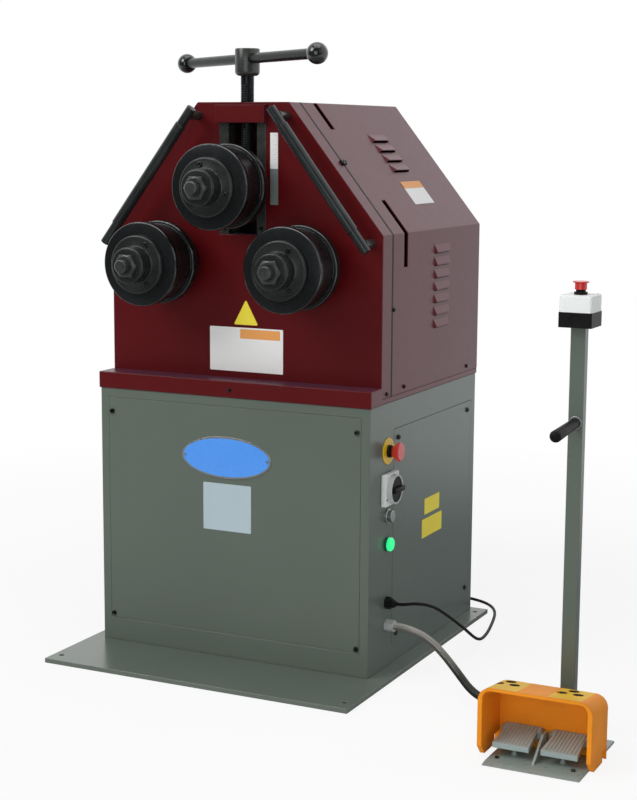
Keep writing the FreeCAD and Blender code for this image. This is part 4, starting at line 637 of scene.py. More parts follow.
def heads(name, spots, radius, look="black_steel", body="root"):
    """Screw heads at (place, facing) spots as one plain mesh."""
    mould = bpy.data.objects.get("screw_mould") or bpy.data.objects.new("screw_mould", screw_head_mesh())
    mesh = bpy.data.meshes.new(name)
    mesh.from_pydata([spot for spot, _ in spots], [], [])
    facing = mesh.attributes.new("facing", "FLOAT_VECTOR", "POINT")
    for index, (_, way) in enumerate(spots):
        facing.data[index].vector = way
    holder = linked(name, mesh)
    modifier = holder.modifiers.new("Place heads", "NODES")
    tree = modifier.node_group = scatter_tree()
    sockets = {item.name: item.identifier for item in tree.interface.items_tree if item.in_out == "INPUT"}
    for socket, value in (("Head", mould), ("Radius", radius), ("Material", finish(look))):
        modifier[sockets[socket]] = value
    made = evaluated_mesh(holder)
    bpy.data.objects.remove(holder)
    return new_piece(name, made, look, body)


# ------------------------------------------------------------------ places from the frame
def span(node):
    """Lowest and highest corner of a CAD node."""
    low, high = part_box(node)
    return Vector(low), Vector(high)


def middle(node, **fixed):
    """Middle of a CAD node, with some coordinates set to given values."""
    low, high = span(node)
    point = Vector(((low.x + high.x) / 2, (low.y + high.y) / 2, (low.z + high.z) / 2))
    for axis, value in fixed.items():
        setattr(point, axis, value)
    return point


CABINET_LOW, CABINET_HIGH = span("cabinet_frame")
COVER_LOW, COVER_HIGH = span("rear_cover")
SHOULDER = Vector((CABINET_HIGH.x, 0, 0.929))
TOP_EDGE = Vector((0.1085, 0, 1.198))
DOWN_SLOPE = (SHOULDER - TOP_EDGE).normalized()
SLOPE_OUT = Vector((-DOWN_SLOPE.z, 0, DOWN_SLOPE.x))
SEAM_DEPTH, SEAM_HALF = 0.0001, 0.0034
HOOD_MIDDLE, HOOD_LOWERED, HOOD_SLANT = 0.074, 0.36, 0.8
# For each roller: the body that it rides on, and the angle of its first collar bolt.
ROLLERS = {"top": ("upper_roller", 104), "left": ("lower_left_roller", 60),
           "right": ("lower_right_roller", 62)}
OWN_LOOK = {"base_plate": "plate_paint_lit", "station_plate": "station_grey", "guide_rods": "rod_steel",
            "rod_brackets": "nut_steel", "slide_rails": "nut_steel", "hose_glands": "gland_metal",
            "push_button": "button_metal", "rear_cover": "cover_paint_hood_highlight", "top_shaft": "nut_steel",
            "left_shaft": "nut_steel", "right_shaft": "nut_steel"}
SOFT_EDGES = {"base_plate": 0.0012, "cabinet_frame": 0.0012, "front_panel": 0.0006, "head_base": 0.002,
              "head_housing": 0.0022, "top_bridge": 0.0015, "station_plate": 0.0006, "station_post": 0.0015,
              "stop_box_base": 0.002, "switch_body": 0.002, "foot_guard": 0.0022, "slide_rails": 0.0008,
              "rear_cover": 0.0014}


# ------------------------------------------------------------------ steps
class FITOUT_OT_finishes(bpy.types.Operator):
    """Give every CAD node the finish of its slot, and visible sheet work rounded edges"""

    bl_idname = "fitout.finishes"
    bl_label = "Finish CAD nodes"

    def execute(self, context):
        slots = {part["node"]: part["material_slot"] for part in frame["record"]["subparts"]}
        for name, node in frame["nodes"].items():
            for holder in node.material_slots:
                holder.material = finish(OWN_LOOK.get(name, slots[name]))
        for name, bevel in SOFT_EDGES.items():
            reshape = drawn_hoods if name == "rear_cover" else None
            dressed_copy(name, bevel, OWN_LOOK.get(name, slots[name]), reshape)
        return {"FINISHED"}


class FITOUT_OT_press_screw(bpy.types.Operator):
    """Press screw with its real thread, the hub, the T-bar and the ball knobs"""

    bl_idname = "fitout.press_screw"
    bl_label = "Press screw and T-bar"

    def execute(self, context):
        pitch = settings()[1].thread
        low, high = span("press_screw")
        centre = middle("press_screw", z=0)
        hub_bottom = high.z - 0.0565
        thread_top = hub_bottom - 0.018
        core, depth = 0.014, 0.0004

        def thread(size, along, angle):
            """Depth of the thread below the screw's surface."""
            if abs(size - core) > 1e-4 or along > thread_top:
                return 0
            phase = (along / pitch - angle / FULL) % 1
            return -depth * min(1, max(0, (abs(phase - 0.5) * 4 - 0.5)))

        steps = int((hub_bottom - 0.002 - low.z - 0.003) / (pitch / 8))
        profile = [(0, low.z), (core - 0.002, low.z), (core, low.z + 0.002)]
        profile += [(core, low.z + 0.003 + step * pitch / 8) for step in range(steps)]
        profile += [(core, hub_bottom + 0.001), (0, hub_bottom + 0.001)]
        turned("press_screw_threaded", profile, 40, centre, UP, "press_steel", "screw",
               stands_for="press_screw", ripple=thread)
        hub, fillet = high.x - centre.x, 0.009
        profile = [(0, hub_bottom)]
        angles = [QUARTER * step / 6 - QUARTER for step in range(7)]
        profile += arc(hub - fillet, hub_bottom + fillet, fillet, angles)
        profile += [(hub, high.z - 0.002), (hub - 0.0006, high.z - 0.0006), (hub - 0.002, high.z),
                    (0, high.z)]
        turned("press_hub", profile, 48, centre, UP, "nut_steel", "screw")

        low, high = span("handle_knobs")
        ball, flat, bar = 0.0215, 0.0128, 0.01075
        end = Vector((high.x - ball, low.y + ball, (low.z + high.z) / 2))
        centre.z = end.z
        way = (end - centre).normalized()
        half = (end - centre).length
        profile = [(0, -half), (bar - 0.001, -half), (bar, -half + 0.001), (bar, half - 0.001),
                   (bar - 0.001, half), (0, half)]
        turned("tee_bar", profile, 40, centre, way, "press_steel", "screw", stands_for="handle_bar")
        points = [(ball * math.sin(angle), -ball * math.cos(angle))
                  for angle in (math.pi * step / 22 for step in range(23))]
        points = [(size, along) for size, along in points if along >= 0 or size >= flat]
        points[-1] = (0, ball)
        first = points[0][1]
        profile = [(0.0109, first), (0.0120, first - 0.0006)] + points
        for side, sign, node in (("near", 1, "handle_knobs"), ("far", -1, None)):
            turned(f"ball_knob_{side}", profile, 40, centre + sign * way * half, sign * way, "knob_black",
                   "screw", stands_for=node)
        return {"FINISHED"}


class FITOUT_OT_rollers(bpy.types.Operator):
    """Turned rollers: two flange rings and a drum each, collar with bolts, and nut"""

    bl_idname = "fitout.rollers"
    bl_label = "Rollers"

    def execute(self, context):
        for side, (body, bolt_angle) in ROLLERS.items():
            centre = middle(f"{side}_nut", y=0)
            self.roller(side, body, centre)
            step_at = self.collar(side, body, centre)
            self.nut(side, body, centre)
            circle, sunk = 0.048, 0.0012
            spots = []
            for angle in (math.radians(bolt_angle + 120 * bolt) for bolt in range(3)):
                across, rise = circle * math.cos(angle), circle * math.sin(angle)
                spots.append(((centre.x + across, -step_at + sunk, centre.z + rise), FORWARD))
            heads(f"{side}_collar_bolts", spots, settings()[1].cap, body=body)
        return {"FINISHED"}

    def roller(self, side, body, centre):
        """Drum between two flange rings, with the rubbed rims of the rings."""
        low, high = span(f"{side}_roller")
        back, front = -high.y, -low.y
        bore, rim, drum, ring, edge = 0.0201, 0.088, 0.081, 0.020, 0.003
        inner = rim - edge
        corner = (0, 0.5, 1.0, QUARTER)
        profile = [(bore, back), (inner, back)]
        profile += arc(inner, back + edge, edge, (0.5 - QUARTER, 1.0 - QUARTER, 0))
        profile += arc(inner, back + ring - edge, edge, corner)
        near, far = front - ring, back + ring
        profile += [(drum + 0.0015, far), (drum + 0.0002, far + 0.0004), (drum, far + 0.0018),
                    (drum, near - 0.0018), (drum + 0.0002, near - 0.0004), (drum + 0.0015, near),
                    (inner, near), (rim - 0.0008, near + 0.0008), (rim, near + edge)]
        profile += arc(inner, front - edge, edge, corner) + [(bore, front)]
        turned(f"{side}_roller_turned", profile, 96, centre, FORWARD, "roller_steel", body,
               stands_for=f"{side}_roller")
        for place, face in (("front", front), ("rear", back + ring)):
            band = arc(inner, face - edge, edge + 0.0001, (math.radians(step) for step in range(24, 72, 6)))
            band = [(band[0][0] - 0.0006, band[0][1])] + band + [(band[-1][0], band[-1][1] - 0.0006)]
            turned(f"{side}_rim_{place}", band, 96, centre, FORWARD, "rim_steel", body)

    def collar(self, side, body, centre):
        """Flanged collar in front of a roller; gives back where its flange ends."""
        low, high = span(f"{side}_collar")
        disc, boss = -high.y, -low.y
        wide, neck, edge = 0.0615, 0.038, 0.004
        step_at = disc + 0.016
        corner = (0.4, 0.8, 1.2, QUARTER)
        profile = [(0.0201, disc), (wide, disc), (wide, step_at - edge)]
        profile += arc(wide - edge, step_at - edge, edge, corner)
        profile += [(neck + 0.002, step_at), (neck + 0.0005, step_at + 0.0006), (neck, step_at + 0.0022),
                    (neck, boss - edge)]
        profile += arc(neck - edge, boss - edge, edge, corner) + [(0.0145, boss)]
        turned(f"{side}_collar_turned", profile, 72, centre, FORWARD, "collar_steel", body,
               stands_for=f"{side}_collar")
        return step_at

    def nut(self, side, body, centre):
        """Hexagon nut with a chamfered front."""
        low, high = span(f"{side}_nut")
        corner = (high.x - low.x) / 2
        back, front = -high.y, -low.y
        chamfer, thread = 0.0035, 0.016

        def hexed(radius, along, angle):
            """What is cut from the round blank to leave six flats and a chamfer."""
            limit = corner * math.cos(math.pi / 6) / math.cos(angle % SIXTH - SIXTH / 2)
            cut = max(0, along - (front - chamfer)) * 1.75
            return min(limit, corner - cut) - radius if radius > thread else 0

        profile = [(corner, back)] + [(corner, front - chamfer + step * chamfer / 5) for step in range(6)]
        profile += [(0.0155, front), (0.0142, front - 0.0012)]
        turned(f"{side}_nut_turned", profile, 72, centre, FORWARD, "nut_steel", body,
               stands_for=f"{side}_nut", ripple=hexed, smooth=25)


def mirrored_spots(x, places):
    """Screw spots on the right side of the machine and their mirror images on the left."""
    return [((sign * x, y, z), (sign, 0, 0)) for y, z in places for sign in (1, -1)]


class FITOUT_OT_screws(bpy.types.Operator):
    """Cover, panel, rail and plate screws"""

    bl_idname = "fitout.screws"
    bl_label = "Screws"

    def execute(self, context):
        screw = settings()[1].screw
        side = CABINET_HIGH.x
        spots = []
        for x, z in ((-0.296, 0.529), (0.296, 0.529), (-0.298, 0.0705), (0.298, 0.0705)):
            spots += [((x, CABINET_LOW.y, z), FORWARD), ((x, CABINET_HIGH.y, z), BACK)]
        spots += mirrored_spots(side, ((-0.155, 0.500), (0.250, 0.500), (-0.156, 0.071), (0.255, 0.072)))
        heads("panel_screws", spots, screw)
        spots = [((-0.002, span("head_base")[0].y, 0.5964), FORWARD)]
        spots += mirrored_spots(side, ((-0.217, 0.600), (-0.186, 0.773), (-0.1275, 0.6045), (0.24, 0.6045)))
        heads("cover_screws", spots, screw * 0.8)
        spots = []
        for y in (-0.187, -0.198):
            place = TOP_EDGE + DOWN_SLOPE * 0.159 + Vector((0, y, 0))
            spots += [(place, SLOPE_OUT), (place * Vector((-1, 1, 1)), SLOPE_OUT * Vector((-1, 1, 1)))]
        heads("slope_screws", spots, 0.0066)
        self.seams()
        front = span("slide_rails")[0].y
        spots = [((x, front, z), FORWARD) for x in (-0.0444, 0.0444) for z in (0.935, 0.985)]
        heads("rail_screws", spots, 0.0045)
        heads("station_floor_screws", [((x, -0.587, 0.004), UP) for x in (0.716, 0.861)], 0.0042)
        return {"FINISHED"}

    def seams(self):
        """Painted shade: dark strips along the joint between the head's front and its rear cover, down the
        slopes and the sides, stand for the shadow in the gap.
        """
        seam = COVER_LOW.y
        for name, start, way, out, reach in (
                ("seam_slope", TOP_EDGE, DOWN_SLOPE, SLOPE_OUT, (SHOULDER - TOP_EDGE).length),
                ("seam_side", SHOULDER, Vector((0, 0, -1)), Vector(RIGHT), SHOULDER.z - COVER_LOW.z)):
            for hand, sign in (("right", 1), ("left", -1)):
                flip = Vector((sign, 1, 1))
                near, far = seam * sign - SEAM_HALF, seam * sign + SEAM_HALF
                plate_piece(f"{name}_{hand}", [(0, near), (reach, near), (reach, far), (0, far)],
                            (start - out * SEAM_DEPTH) * flip, way * flip, (0, sign, 0), 0.0003, "cord_black")


class FITOUT_OT_controls(bpy.types.Operator):
    """Rings and lid of the emergency stops, grip sleeve, main switch and lamp rim"""

    bl_idname = "fitout.controls"
    bl_label = "Controls"

    def execute(self, context):
        self.side_stop()
        self.stop_box()
        self.grip()
        self.switch()
        self.lamp()
        self.lock_slot()
        return {"FINISHED"}

    def side_stop(self):
        """Yellow disc and black neck of the emergency stop on the cabinet."""
        low, high = span("stop_collar_side")
        centre = middle("stop_collar_side", x=0)
        bore, face = 0.01105, low.x + 0.0025
        disc = sleeve(bore, (high.y - low.y) / 2 - 0.002, low.x, face, 0.0006)
        turned("stop_ring_side", disc, 64, centre, RIGHT, "yellow_plastic", stands_for="stop_collar_side")
        neck = sleeve(bore, 0.0135, face, high.x, 0.001)
        turned("stop_neck_side", neck, 48, centre, RIGHT, "black_plastic")

    def stop_box(self):
        """Pale lid of the control box on the post, with its neck and screws."""
        low, high = span("stop_box_cover")
        top = high.z - 0.005
        centre = middle("stop_box_cover", z=0)
        shape = block(low, Vector((high.x, high.y, top)))
        round_edges(shape, [edge for edge in shape.edges
                            if abs(edge.verts[0].co.z - edge.verts[1].co.z) > 0.01], 0.006, 5)
        round_edges(shape, [edge for edge in shape.edges
                            if min(vertex.co.z for vertex in edge.verts) > top - 1e-5], 0.0025)
        new_piece("stop_box_lid", mesh_from(shape, "stop_box_lid"), "light_plastic",
                  stands_for="stop_box_cover")
        neck = sleeve(0.00905, 0.0125, top - 0.001, high.z, 0.0008)
        turned("stop_box_neck", neck, 48, centre, UP, "black_plastic")
        reach = 0.0245
        heads("stop_box_screws", [((centre.x + x, centre.y + y, top - 0.0015), UP) for x in (-reach, reach)
                                  for y in (-reach, reach)], 0.0028, "chrome")

    def grip(self):
        """Tapered sleeve on the post's grip, with a washer at the post."""
        low, high = span("station_grip")
        corners = [vertex.co for vertex in frame["nodes"]["station_grip"].data.vertices]
        ends = []
        for side in (low.y, high.y):
            close = [corner for corner in corners if abs(corner.y - side) < 0.0012]
            across, rise = [corner.x for corner in close], [corner.z for corner in close]
            ends.append(Vector(((min(across) + max(across)) / 2, side, (min(rise) + max(rise)) / 2)))
        run = ends[0] - ends[1]
        reach = run.length
        thick, dome = 0.0112, 0.009
        profile = [(0, 0), (0.0096, 0), (0.0098, reach * 0.2), (0.0106, reach * 0.6), (thick, reach - dome)]
        profile += [(thick * math.cos(a), reach - dome + dome * math.sin(a)) for a in (0.3, 0.6, 0.9, 1.2)]
        profile += [(0, reach)]
        turned("grip_sleeve", profile, 48, ends[1], run.normalized(), "cord_black",
               stands_for="station_grip")
        face = -span("station_post")[0].y
        washer = sleeve(0.0099, 0.0125, face, face + 0.0018, 0.0005, 0.0004)
        turned("grip_washer", washer, 48, (ends[1].x, 0, ends[1].z), FORWARD, "chrome")

    def switch(self):
        """Dial, bar and surround of the main switch."""
        low, high = span("switch_knob")
        centre = middle("switch_knob", x=0)
        face = low.x + 0.0085
        turned("switch_dial", sleeve(0, 0.0268, low.x, face, 0.0015), 64, centre, RIGHT, "black_plastic",
               "main_switch", stands_for="switch_knob")
        shape = block(Vector((face - 0.001, centre.y - 0.026, centre.z - 0.005)),
                      Vector((high.x, centre.y + 0.026, centre.z + 0.005)))
        round_edges(shape, shape.edges[:], 0.002)
        new_piece("switch_bar", mesh_from(shape, "switch_bar"), "black_plastic", "main_switch")
        plate_x = span("switch_body")[1].x
        surround = [(0.0273, 0), (0.0315, 0), (0.0315, 0.0095), (0.0310, 0.0106), (0.0300, 0.011),
                    (0.0286, 0.011), (0.0276, 0.0103), (0.0273, 0.0092)]
        turned("switch_surround", [(radius, plate_x + rise) for radius, rise in surround], 72, centre, RIGHT,
               "switch_grey")

    def lamp(self):
        """Rim around the signal lamp's lens."""
        low = span("signal_lamp")[0]
        rim = sleeve(0.0126, 0.0154, low.x, low.x + 0.0051, 0.0006, 0.0007)
        turned("lamp_rim", rim, 64, middle("signal_lamp", x=0), RIGHT, "lamp_rim")

    def lock_slot(self):
        """Padlock slot in a corner of the main switch's plate, drawn as a flat black plate: painted shade for
        the slot's dark inside.
        """
        corner = middle("switch_body", x=span("switch_body")[1].x) - Vector((0, 0.029, 0.019))
        plate_piece("switch_slot", box_outline(-0.0035, -0.0012, 0.0035, 0.0012, 0.0008), corner, BACK, UP,
                    0.0003, "black_plastic")


class FITOUT_OT_plates(bpy.types.Operator):
    """Blank plates where the real machine carries its signs, the depth scale's divisions, and a painted
    reflection on the scale's upper half
    """

    bl_idname = "fitout.plates"
    bl_label = "Blank plates"

    def execute(self, context):
        thick = settings()[1].plate
        face = (0, span("head_housing")[0].y, 0)
        panel = (0, span("front_panel")[0].y, 0)
        side = (CABINET_HIGH.x, 0, 0)
        low, high = span("depth_scale")
        oval = (-0.0103, panel[1], 0.4496)

        def plate(name, outline, origin, look, layers=1, across=RIGHT, up=UP):
            """One blank plate, its thickness given in layers."""
            plate_piece(name, outline, origin, across, up, thick * layers, look)

        triangle = rounded_outline([(-0.0215, 0.730), (0.0375, 0.730), (0.008, 0.784)], 0.003)
        plate("triangle_plate", triangle, face, "plate_yellow")
        plate("notice_plate", box_outline(-0.080, 0.629, 0.097, 0.724), face, "plate_white")
        plate("notice_header", box_outline(-0.006, 0.7005, 0.090, 0.7207, 0.001), face, "plate_orange", 1.5)
        plate("oval_rim", ellipse(0.1085, 0.0455), oval, "chrome", 3)
        plate("oval_face", ellipse(0.1045, 0.0415), oval, "plate_blue", 4)
        rivets = [((oval[0] + x, oval[1] - thick * 3.6, oval[2]), FORWARD) for x in (-0.1, 0.1)]
        heads("oval_rivets", rivets, 0.003, "chrome")
        plate("rating_plate", box_outline(-0.067, 0.2895, 0.0494, 0.3925), panel, "plate_grey")
        plate("side_plate_upper", box_outline(-0.002, 0.300, 0.084, 0.336), side, "plate_yellow", 1, BACK)
        plate("side_plate_lower", box_outline(-0.015, 0.2485, 0.100, 0.2905), side, "plate_yellow", 1, BACK)
        slope = (BACK, -DOWN_SLOPE)
        header = box_outline(0.025, 0.112, 0.133, 0.130, 0.001)
        plate("slope_plate", box_outline(0.025, 0.069, 0.133, 0.130), SHOULDER, "plate_white", 1, *slope)
        plate("slope_header", header, SHOULDER, "plate_orange", 1.5, *slope)
        # painted reflection: a white plate over the upper half of the depth scale stands for the bright
        # surroundings seen in it
        reflection_half = box_outline(low.x, (low.z + high.z) / 2, high.x, high.z, 0.001)
        plate("scale_white", reflection_half, (0, low.y, 0), "plate_white", 0.6)
        marks = bmesh.new()
        long_mark, short_mark, half_line = 0.008, 0.0045, 0.00015
        right = high.x - 0.001
        for mark in range(29):
            z = low.z + 0.004 + mark * 0.005
            left = right - (short_mark if mark % 2 else long_mark)
            marks.faces.new([marks.verts.new((x, low.y - thick * 0.8, z + rise)) for x, rise in (
                (left, -half_line), (right, -half_line), (right, half_line), (left, half_line))])
        new_piece("scale_marks", mesh_from(marks, "scale_marks"), "scale")
        return {"FINISHED"}


# Control points of the two cords' lines, in metres, from the cabinet's wall on.
MAINS_ROUTE = (
    (0.35, -0.207, 0.1508), (0.36, -0.207, 0.151), (0.37, -0.206, 0.1526), (0.379, -0.2025, 0.1537),
    (0.387, -0.197, 0.154), (0.3946, -0.188, 0.1522), (0.4016, -0.177, 0.1492), (0.4074, -0.163, 0.1436),
    (0.4128, -0.148, 0.1367), (0.418, -0.132, 0.1271), (0.423, -0.115, 0.1158), (0.427, -0.098, 0.1046),
    (0.43, -0.08, 0.0932), (0.433, -0.062, 0.0814), (0.436, -0.042, 0.0686), (0.4375, -0.02, 0.0545),
    (0.438, 0.004, 0.04), (0.4375, 0.03, 0.0255), (0.436, 0.058, 0.0135), (0.433, 0.088, 0.006),
    (0.429, 0.12, 0.0036), (0.424, 0.154, 0.0036), (0.414, 0.2, 0.0036), (0.402, 0.25, 0.0036),
    (0.388, 0.3, 0.0036), (0.368, 0.344, 0.0036), (0.338, 0.378, 0.0036), (0.298, 0.398, 0.0036),
    (0.2521, 0.4072, 0.0036),
)
HOSE_ROUTE = (
    (0.345, -0.207, 0.102), (0.361, -0.207, 0.102), (0.384, -0.2075, 0.0985), (0.411, -0.211, 0.092),
    (0.437, -0.219, 0.082), (0.459, -0.230, 0.071), (0.482, -0.246, 0.060), (0.506, -0.267, 0.050),
    (0.532, -0.293, 0.041), (0.560, -0.325, 0.0345), (0.592, -0.355, 0.031), (0.628, -0.372, 0.0305),
    (0.661, -0.384, 0.0315), (0.686, -0.3985, 0.033), (0.703, -0.419, 0.0338), (0.7112, -0.444, 0.0338),
    (0.7112, -0.470, 0.0338),
)


def spline_curve(name, points, radius):
    """A curve of one open smooth spline with the points as its control points."""
    curve = choose(bpy.data.curves.new(name, "CURVE"), dimensions="3D", resolution_u=8, bevel_depth=radius,
                   bevel_resolution=4, use_fill_caps=True)
    spline = curve.splines.new("NURBS")
    spline.points.add(len(points) - 1)
    for point, place in zip(spline.points, points):
        point.co = (*place, 1)
    choose(spline, order_u=3, use_endpoint_u=True)
    return linked(name, curve)


def line_of(piece):
    """Points along a curve's own line."""
    bevel = piece.data.bevel_depth
    piece.data.bevel_depth = 0
    bpy.context.view_layer.update()
    mesh = evaluated_mesh(piece)
    piece.data.bevel_depth = bevel
    points = [vertex.co.copy() for vertex in mesh.vertices]
    bpy.data.meshes.remove(mesh)
    return points


def travelled(points):
    """Length of a line of points."""
    return sum((after - before).length for before, after in zip(points, points[1:]))


def coil_points(centre, radii, layers, first_angle, per_turn=14):
    """Turns of a flat coil from the outside in, then back out on the layer above."""
    points = []
    order = list(radii) + list(reversed(radii))
    total = len(order)
    for place in (step / per_turn for step in range(total * per_turn + 1)):
        turn = min(int(place), total - 1)
        here, following = order[turn], order[min(turn + 1, total - 1)]
        radius = here + (following - here) * (place - turn)
        layer = min(1.0, max(0.0, place - total / 2 + 0.5))
        angle = first_angle + FULL * place
        points.append((centre.x + radius * math.cos(angle), centre.y + radius * math.sin(angle),
                       layers[0] + (layers[1] - layers[0]) * layer))
    return points


class FITOUT_OT_cords(bpy.types.Operator):
    """Mains lead with its coil behind the cabinet, and the ringed hose to the foot station"""

    bl_idname = "fitout.cords"
    bl_label = "Cords"

    def execute(self, context):
        low, high = span("cord_coil")
        centre, plug = middle("cord_coil"), middle("mains_plug")
        thick = 0.007
        outer = (high.x - low.x) / 2 - thick / 2
        radii = (outer - 0.0004, outer - thick - 0.0002, outer - 2 * thick)
        turns = coil_points(centre, radii, (0.0036, 0.0106), math.radians(78))
        tail = [(centre.x - 0.004, plug.y + 0.002, 0.0115), (centre.x - 0.018, plug.y, 0.0135),
                (span("mains_plug")[1].x - 0.0004, plug.y, plug.z)]
        lead = spline_curve("mains_lead", list(MAINS_ROUTE) + turns + tail, thick / 2)
        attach(lead, "root")
        lead.data.materials.append(finish("cord_black"))
        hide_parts("mains_cord", "cord_coil")
        total = travelled(line_of(lead))
        print("mains lead", round(total, 3))

        guide = spline_curve("hose_guide", list(HOSE_ROUTE), 0)
        guide.data.resolution_u = 24
        line = line_of(guide)
        bpy.data.objects.remove(guide)
        hose = self.ringed_tube(line, 0.0165 / 2, settings()[1].hose_pitch)
        piece = new_piece("ringed_hose", hose, "hose_metal", stands_for="conduit")
        print("hose", round(travelled(line), 3))
        return {"FINISHED"}

    def ringed_tube(self, line, radius, pitch):
        """A tube whose wall rises and falls in rings along a line of points."""
        total = travelled(line)
        steps = int(total / (pitch / 4))
        groove, spokes = 0.0009, 24
        shape = bmesh.new()
        rings = []
        index, gone = 0, 0.0
        normal = Vector(UP)
        for target in (total * step / steps for step in range(steps + 1)):
            while index < len(line) - 2 and gone + (line[index + 1] - line[index]).length < target:
                gone += (line[index + 1] - line[index]).length
                index += 1
            run = line[index + 1] - line[index]
            place = line[index] + run * min(1, (target - gone) / run.length)
            along = run.normalized()
            normal = (normal - along * normal.dot(along)).normalized()
            side = along.cross(normal)
            size = radius - groove * (0.5 - 0.5 * math.cos(FULL * target / pitch))
            rings.append(ring_of(shape, spokes, lambda angle: place + size * (
                normal * math.cos(angle) + side * math.sin(angle))))
        bridge(shape, rings)
        shape.faces.new(rings[0])
        shape.faces.new(rings[-1])
        return mesh_from(shape, "ringed_hose", 60)


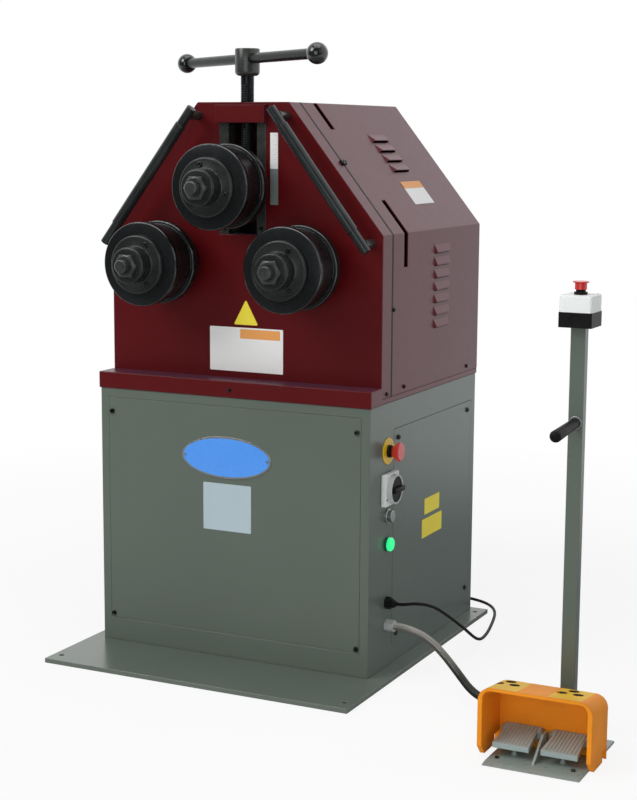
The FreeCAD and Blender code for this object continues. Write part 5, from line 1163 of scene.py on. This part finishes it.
class FITOUT_OT_stage(bpy.types.Operator):
    """Pale floor, soft lights, plain surroundings and the camera"""

    bl_idname = "fitout.stage"
    bl_label = "Stage"

    def execute(self, context):
        stage = settings()[2]
        scene = context.scene
        scene.view_settings.view_transform = "Standard"
        shape = bmesh.new()
        bmesh.ops.create_grid(shape, x_segments=1, y_segments=1, size=30)
        floor = linked("floor", mesh_from(shape, "floor"))
        floor.location = (0, 0, -0.0005)
        floor.data.materials.append(self.floor_material())
        self.surroundings(scene, stage)
        for name, at, size, power in (
                ("key", (-2.6, -3.6, 3.9), 2.6, stage.key), ("fill", (3.9, -2.4, 2.4), 2.2, stage.fill),
                ("rim", (1.5, 3.2, 3.2), 2.4, stage.fill), ("front", (1.0, -4.8, 1.2), 2.6, stage.front),
                ("top", (0.4, -0.9, 4.2), 2.8, stage.top)):
            light = bpy.data.lights.new(name, "AREA")
            lamp = linked(name, choose(light, shape="SQUARE", size=size, energy=power))
            lamp.location = at
            lamp.rotation_euler = (Vector((0.1, -0.1, 0.6)) - Vector(at)).to_track_quat("-Z", "Y").to_euler()
        camera = linked("camera", choose(bpy.data.cameras.new("camera"), sensor_width=36, lens=stage.lens,
                                         clip_end=100))
        yaw, pitch, roll = stage.yaw, stage.pitch, stage.roll
        ahead = Vector((-math.sin(yaw) * math.cos(pitch), math.cos(yaw) * math.cos(pitch), -math.sin(pitch)))
        right = Vector((math.cos(yaw), math.sin(yaw), 0))
        above = right.cross(ahead)
        turned_right = math.cos(roll) * right + math.sin(roll) * above
        turned_up = -math.sin(roll) * right + math.cos(roll) * above
        camera.matrix_world = Matrix.Translation(Vector(stage.camera_at)) @ Matrix(
            (turned_right, turned_up, -ahead)).transposed().to_4x4()
        scene.camera = camera
        return {"FINISHED"}

    def floor_material(self):
        """Pale floor that looks white from the camera and keeps the shadow; in reflections it carries a
        painted shade close to the machine.
        """
        material = bpy.data.materials.new("floor")
        material.use_nodes = True
        tree = material.node_tree
        shader = tree.nodes["Principled BSDF"]
        fill(tree, shader.inputs, {"Base Color": (0.86, 0.86, 0.86, 1), "Roughness": 0.9,
                                   "Specular IOR Level": 0.1})
        place = object_place(tree)
        away = add(tree, "ShaderNodeVectorMath", {0: place}, operation="LENGTH").outputs["Value"]
        shadow_start, shade_start, fade, in_front = 0.9, 1.3, 1.6, 2.6
        share = maths(tree, "ADD", 0.86, maths(tree, "MULTIPLY", ramp(tree, away, shadow_start, fade), 0.14))
        # painted shade: in reflections the floor is dimmed to 0.16 within about 1.3 m of the machine
        painted_floor_shade = maths(tree, "ADD", 0.16, ramp(tree, away, shade_start, fade), True)
        forwards = times(tree, maths(tree, "ADD", parts_of(tree, place)["Y"], in_front, True), painted_floor_shade)
        white = add(tree, "ShaderNodeEmission", {"Color": self.backdrop_colour(tree, forwards)})
        self.blend(tree, times(tree, self.seen_rays(tree), share), shader, white, "Material Output")
        return material

    def blend(self, tree, share, first, second, output):
        """Mix two shaders into an output."""
        mixed = add(tree, "ShaderNodeMixShader", {0: share, 1: first.outputs[0], 2: second.outputs[0]})
        put(tree, tree.nodes[output].inputs["Surface"], mixed.outputs[0])

    def backdrop_colour(self, tree, forwards):
        """White to the camera and in reflections, which fade to a dimmer room in front of the machine."""
        room = settings()[2].room
        camera = tree.nodes.new("ShaderNodeLightPath").outputs["Is Camera Ray"]
        white = maths(tree, "MAXIMUM", forwards, camera)
        return mix_colour(tree, white, (room, room, room, 1), (1.0, 1.0, 1.0, 1))

    def seen_rays(self, tree):
        """One for the rays that show the background: to the camera, in metal and through glass."""
        rays = tree.nodes.new("ShaderNodeLightPath").outputs
        mirrored = maths(tree, "MAXIMUM", rays["Is Glossy Ray"], rays["Is Transmission Ray"])
        return maths(tree, "MAXIMUM", rays["Is Camera Ray"], mirrored)

    def surroundings(self, scene, stage):
        """White backdrop, a dimmer room in the reflections of the front, soft room light."""
        world = scene.world = bpy.data.worlds.new("studio")
        world.use_nodes = True
        tree = world.node_tree
        ground = tree.nodes["Background"]
        fill(tree, ground.inputs, {"Color": (1, 1, 1, 1), "Strength": stage.world})
        way = parts_of(tree, tree.nodes.new("ShaderNodeTexCoord").outputs["Generated"])
        forwards = maths(tree, "MULTIPLY", maths(tree, "ADD", way["Y"], 0.45), 2.2, True)
        seen = add(tree, "ShaderNodeBackground",
                   {"Color": self.backdrop_colour(tree, forwards), "Strength": 1.0})
        self.blend(tree, self.seen_rays(tree), ground, seen, "World Output")


STEPS = (FITOUT_OT_finishes, FITOUT_OT_press_screw, FITOUT_OT_rollers, FITOUT_OT_screws, FITOUT_OT_controls,
         FITOUT_OT_plates, FITOUT_OT_cords, FITOUT_OT_stage)
GROUPS = {"roller_paint": RollerPaint, "roller_trim": RollerTrim, "roller_stage": RollerStage}


class FITOUT_PT_panel(bpy.types.Panel):
    """The dressing steps in the sidebar"""

    bl_idname = "FITOUT_PT_panel"
    bl_label = "Ring roller"
    bl_space_type = "VIEW_3D"
    bl_region_type = "UI"
    bl_category = "Ring roller"

    def draw(self, context):
        for step in STEPS:
            self.layout.operator(step.bl_idname)
        for group in settings():
            for name in group.bl_rna.properties.keys():
                if name not in ("rna_type", "name"):
                    self.layout.prop(group, name)


def register():
    """Register the settings, the steps and the panel."""
    for kind in (*GROUPS.values(), *STEPS, FITOUT_PT_panel):
        bpy.utils.register_class(kind)
    for name, kind in GROUPS.items():
        setattr(bpy.types.Scene, name, bpy.props.PointerProperty(type=kind))


def unregister():
    """Take everything away again."""
    for name in GROUPS:
        delattr(bpy.types.Scene, name)
    for kind in reversed((*GROUPS.values(), *STEPS, FITOUT_PT_panel)):
        bpy.utils.unregister_class(kind)


def main():
    """Run every step in order."""
    register()
    for step in STEPS:
        area, name = step.bl_idname.split(".")
        getattr(getattr(bpy.ops, area), name)()


if __name__ == "__main__":
    main()
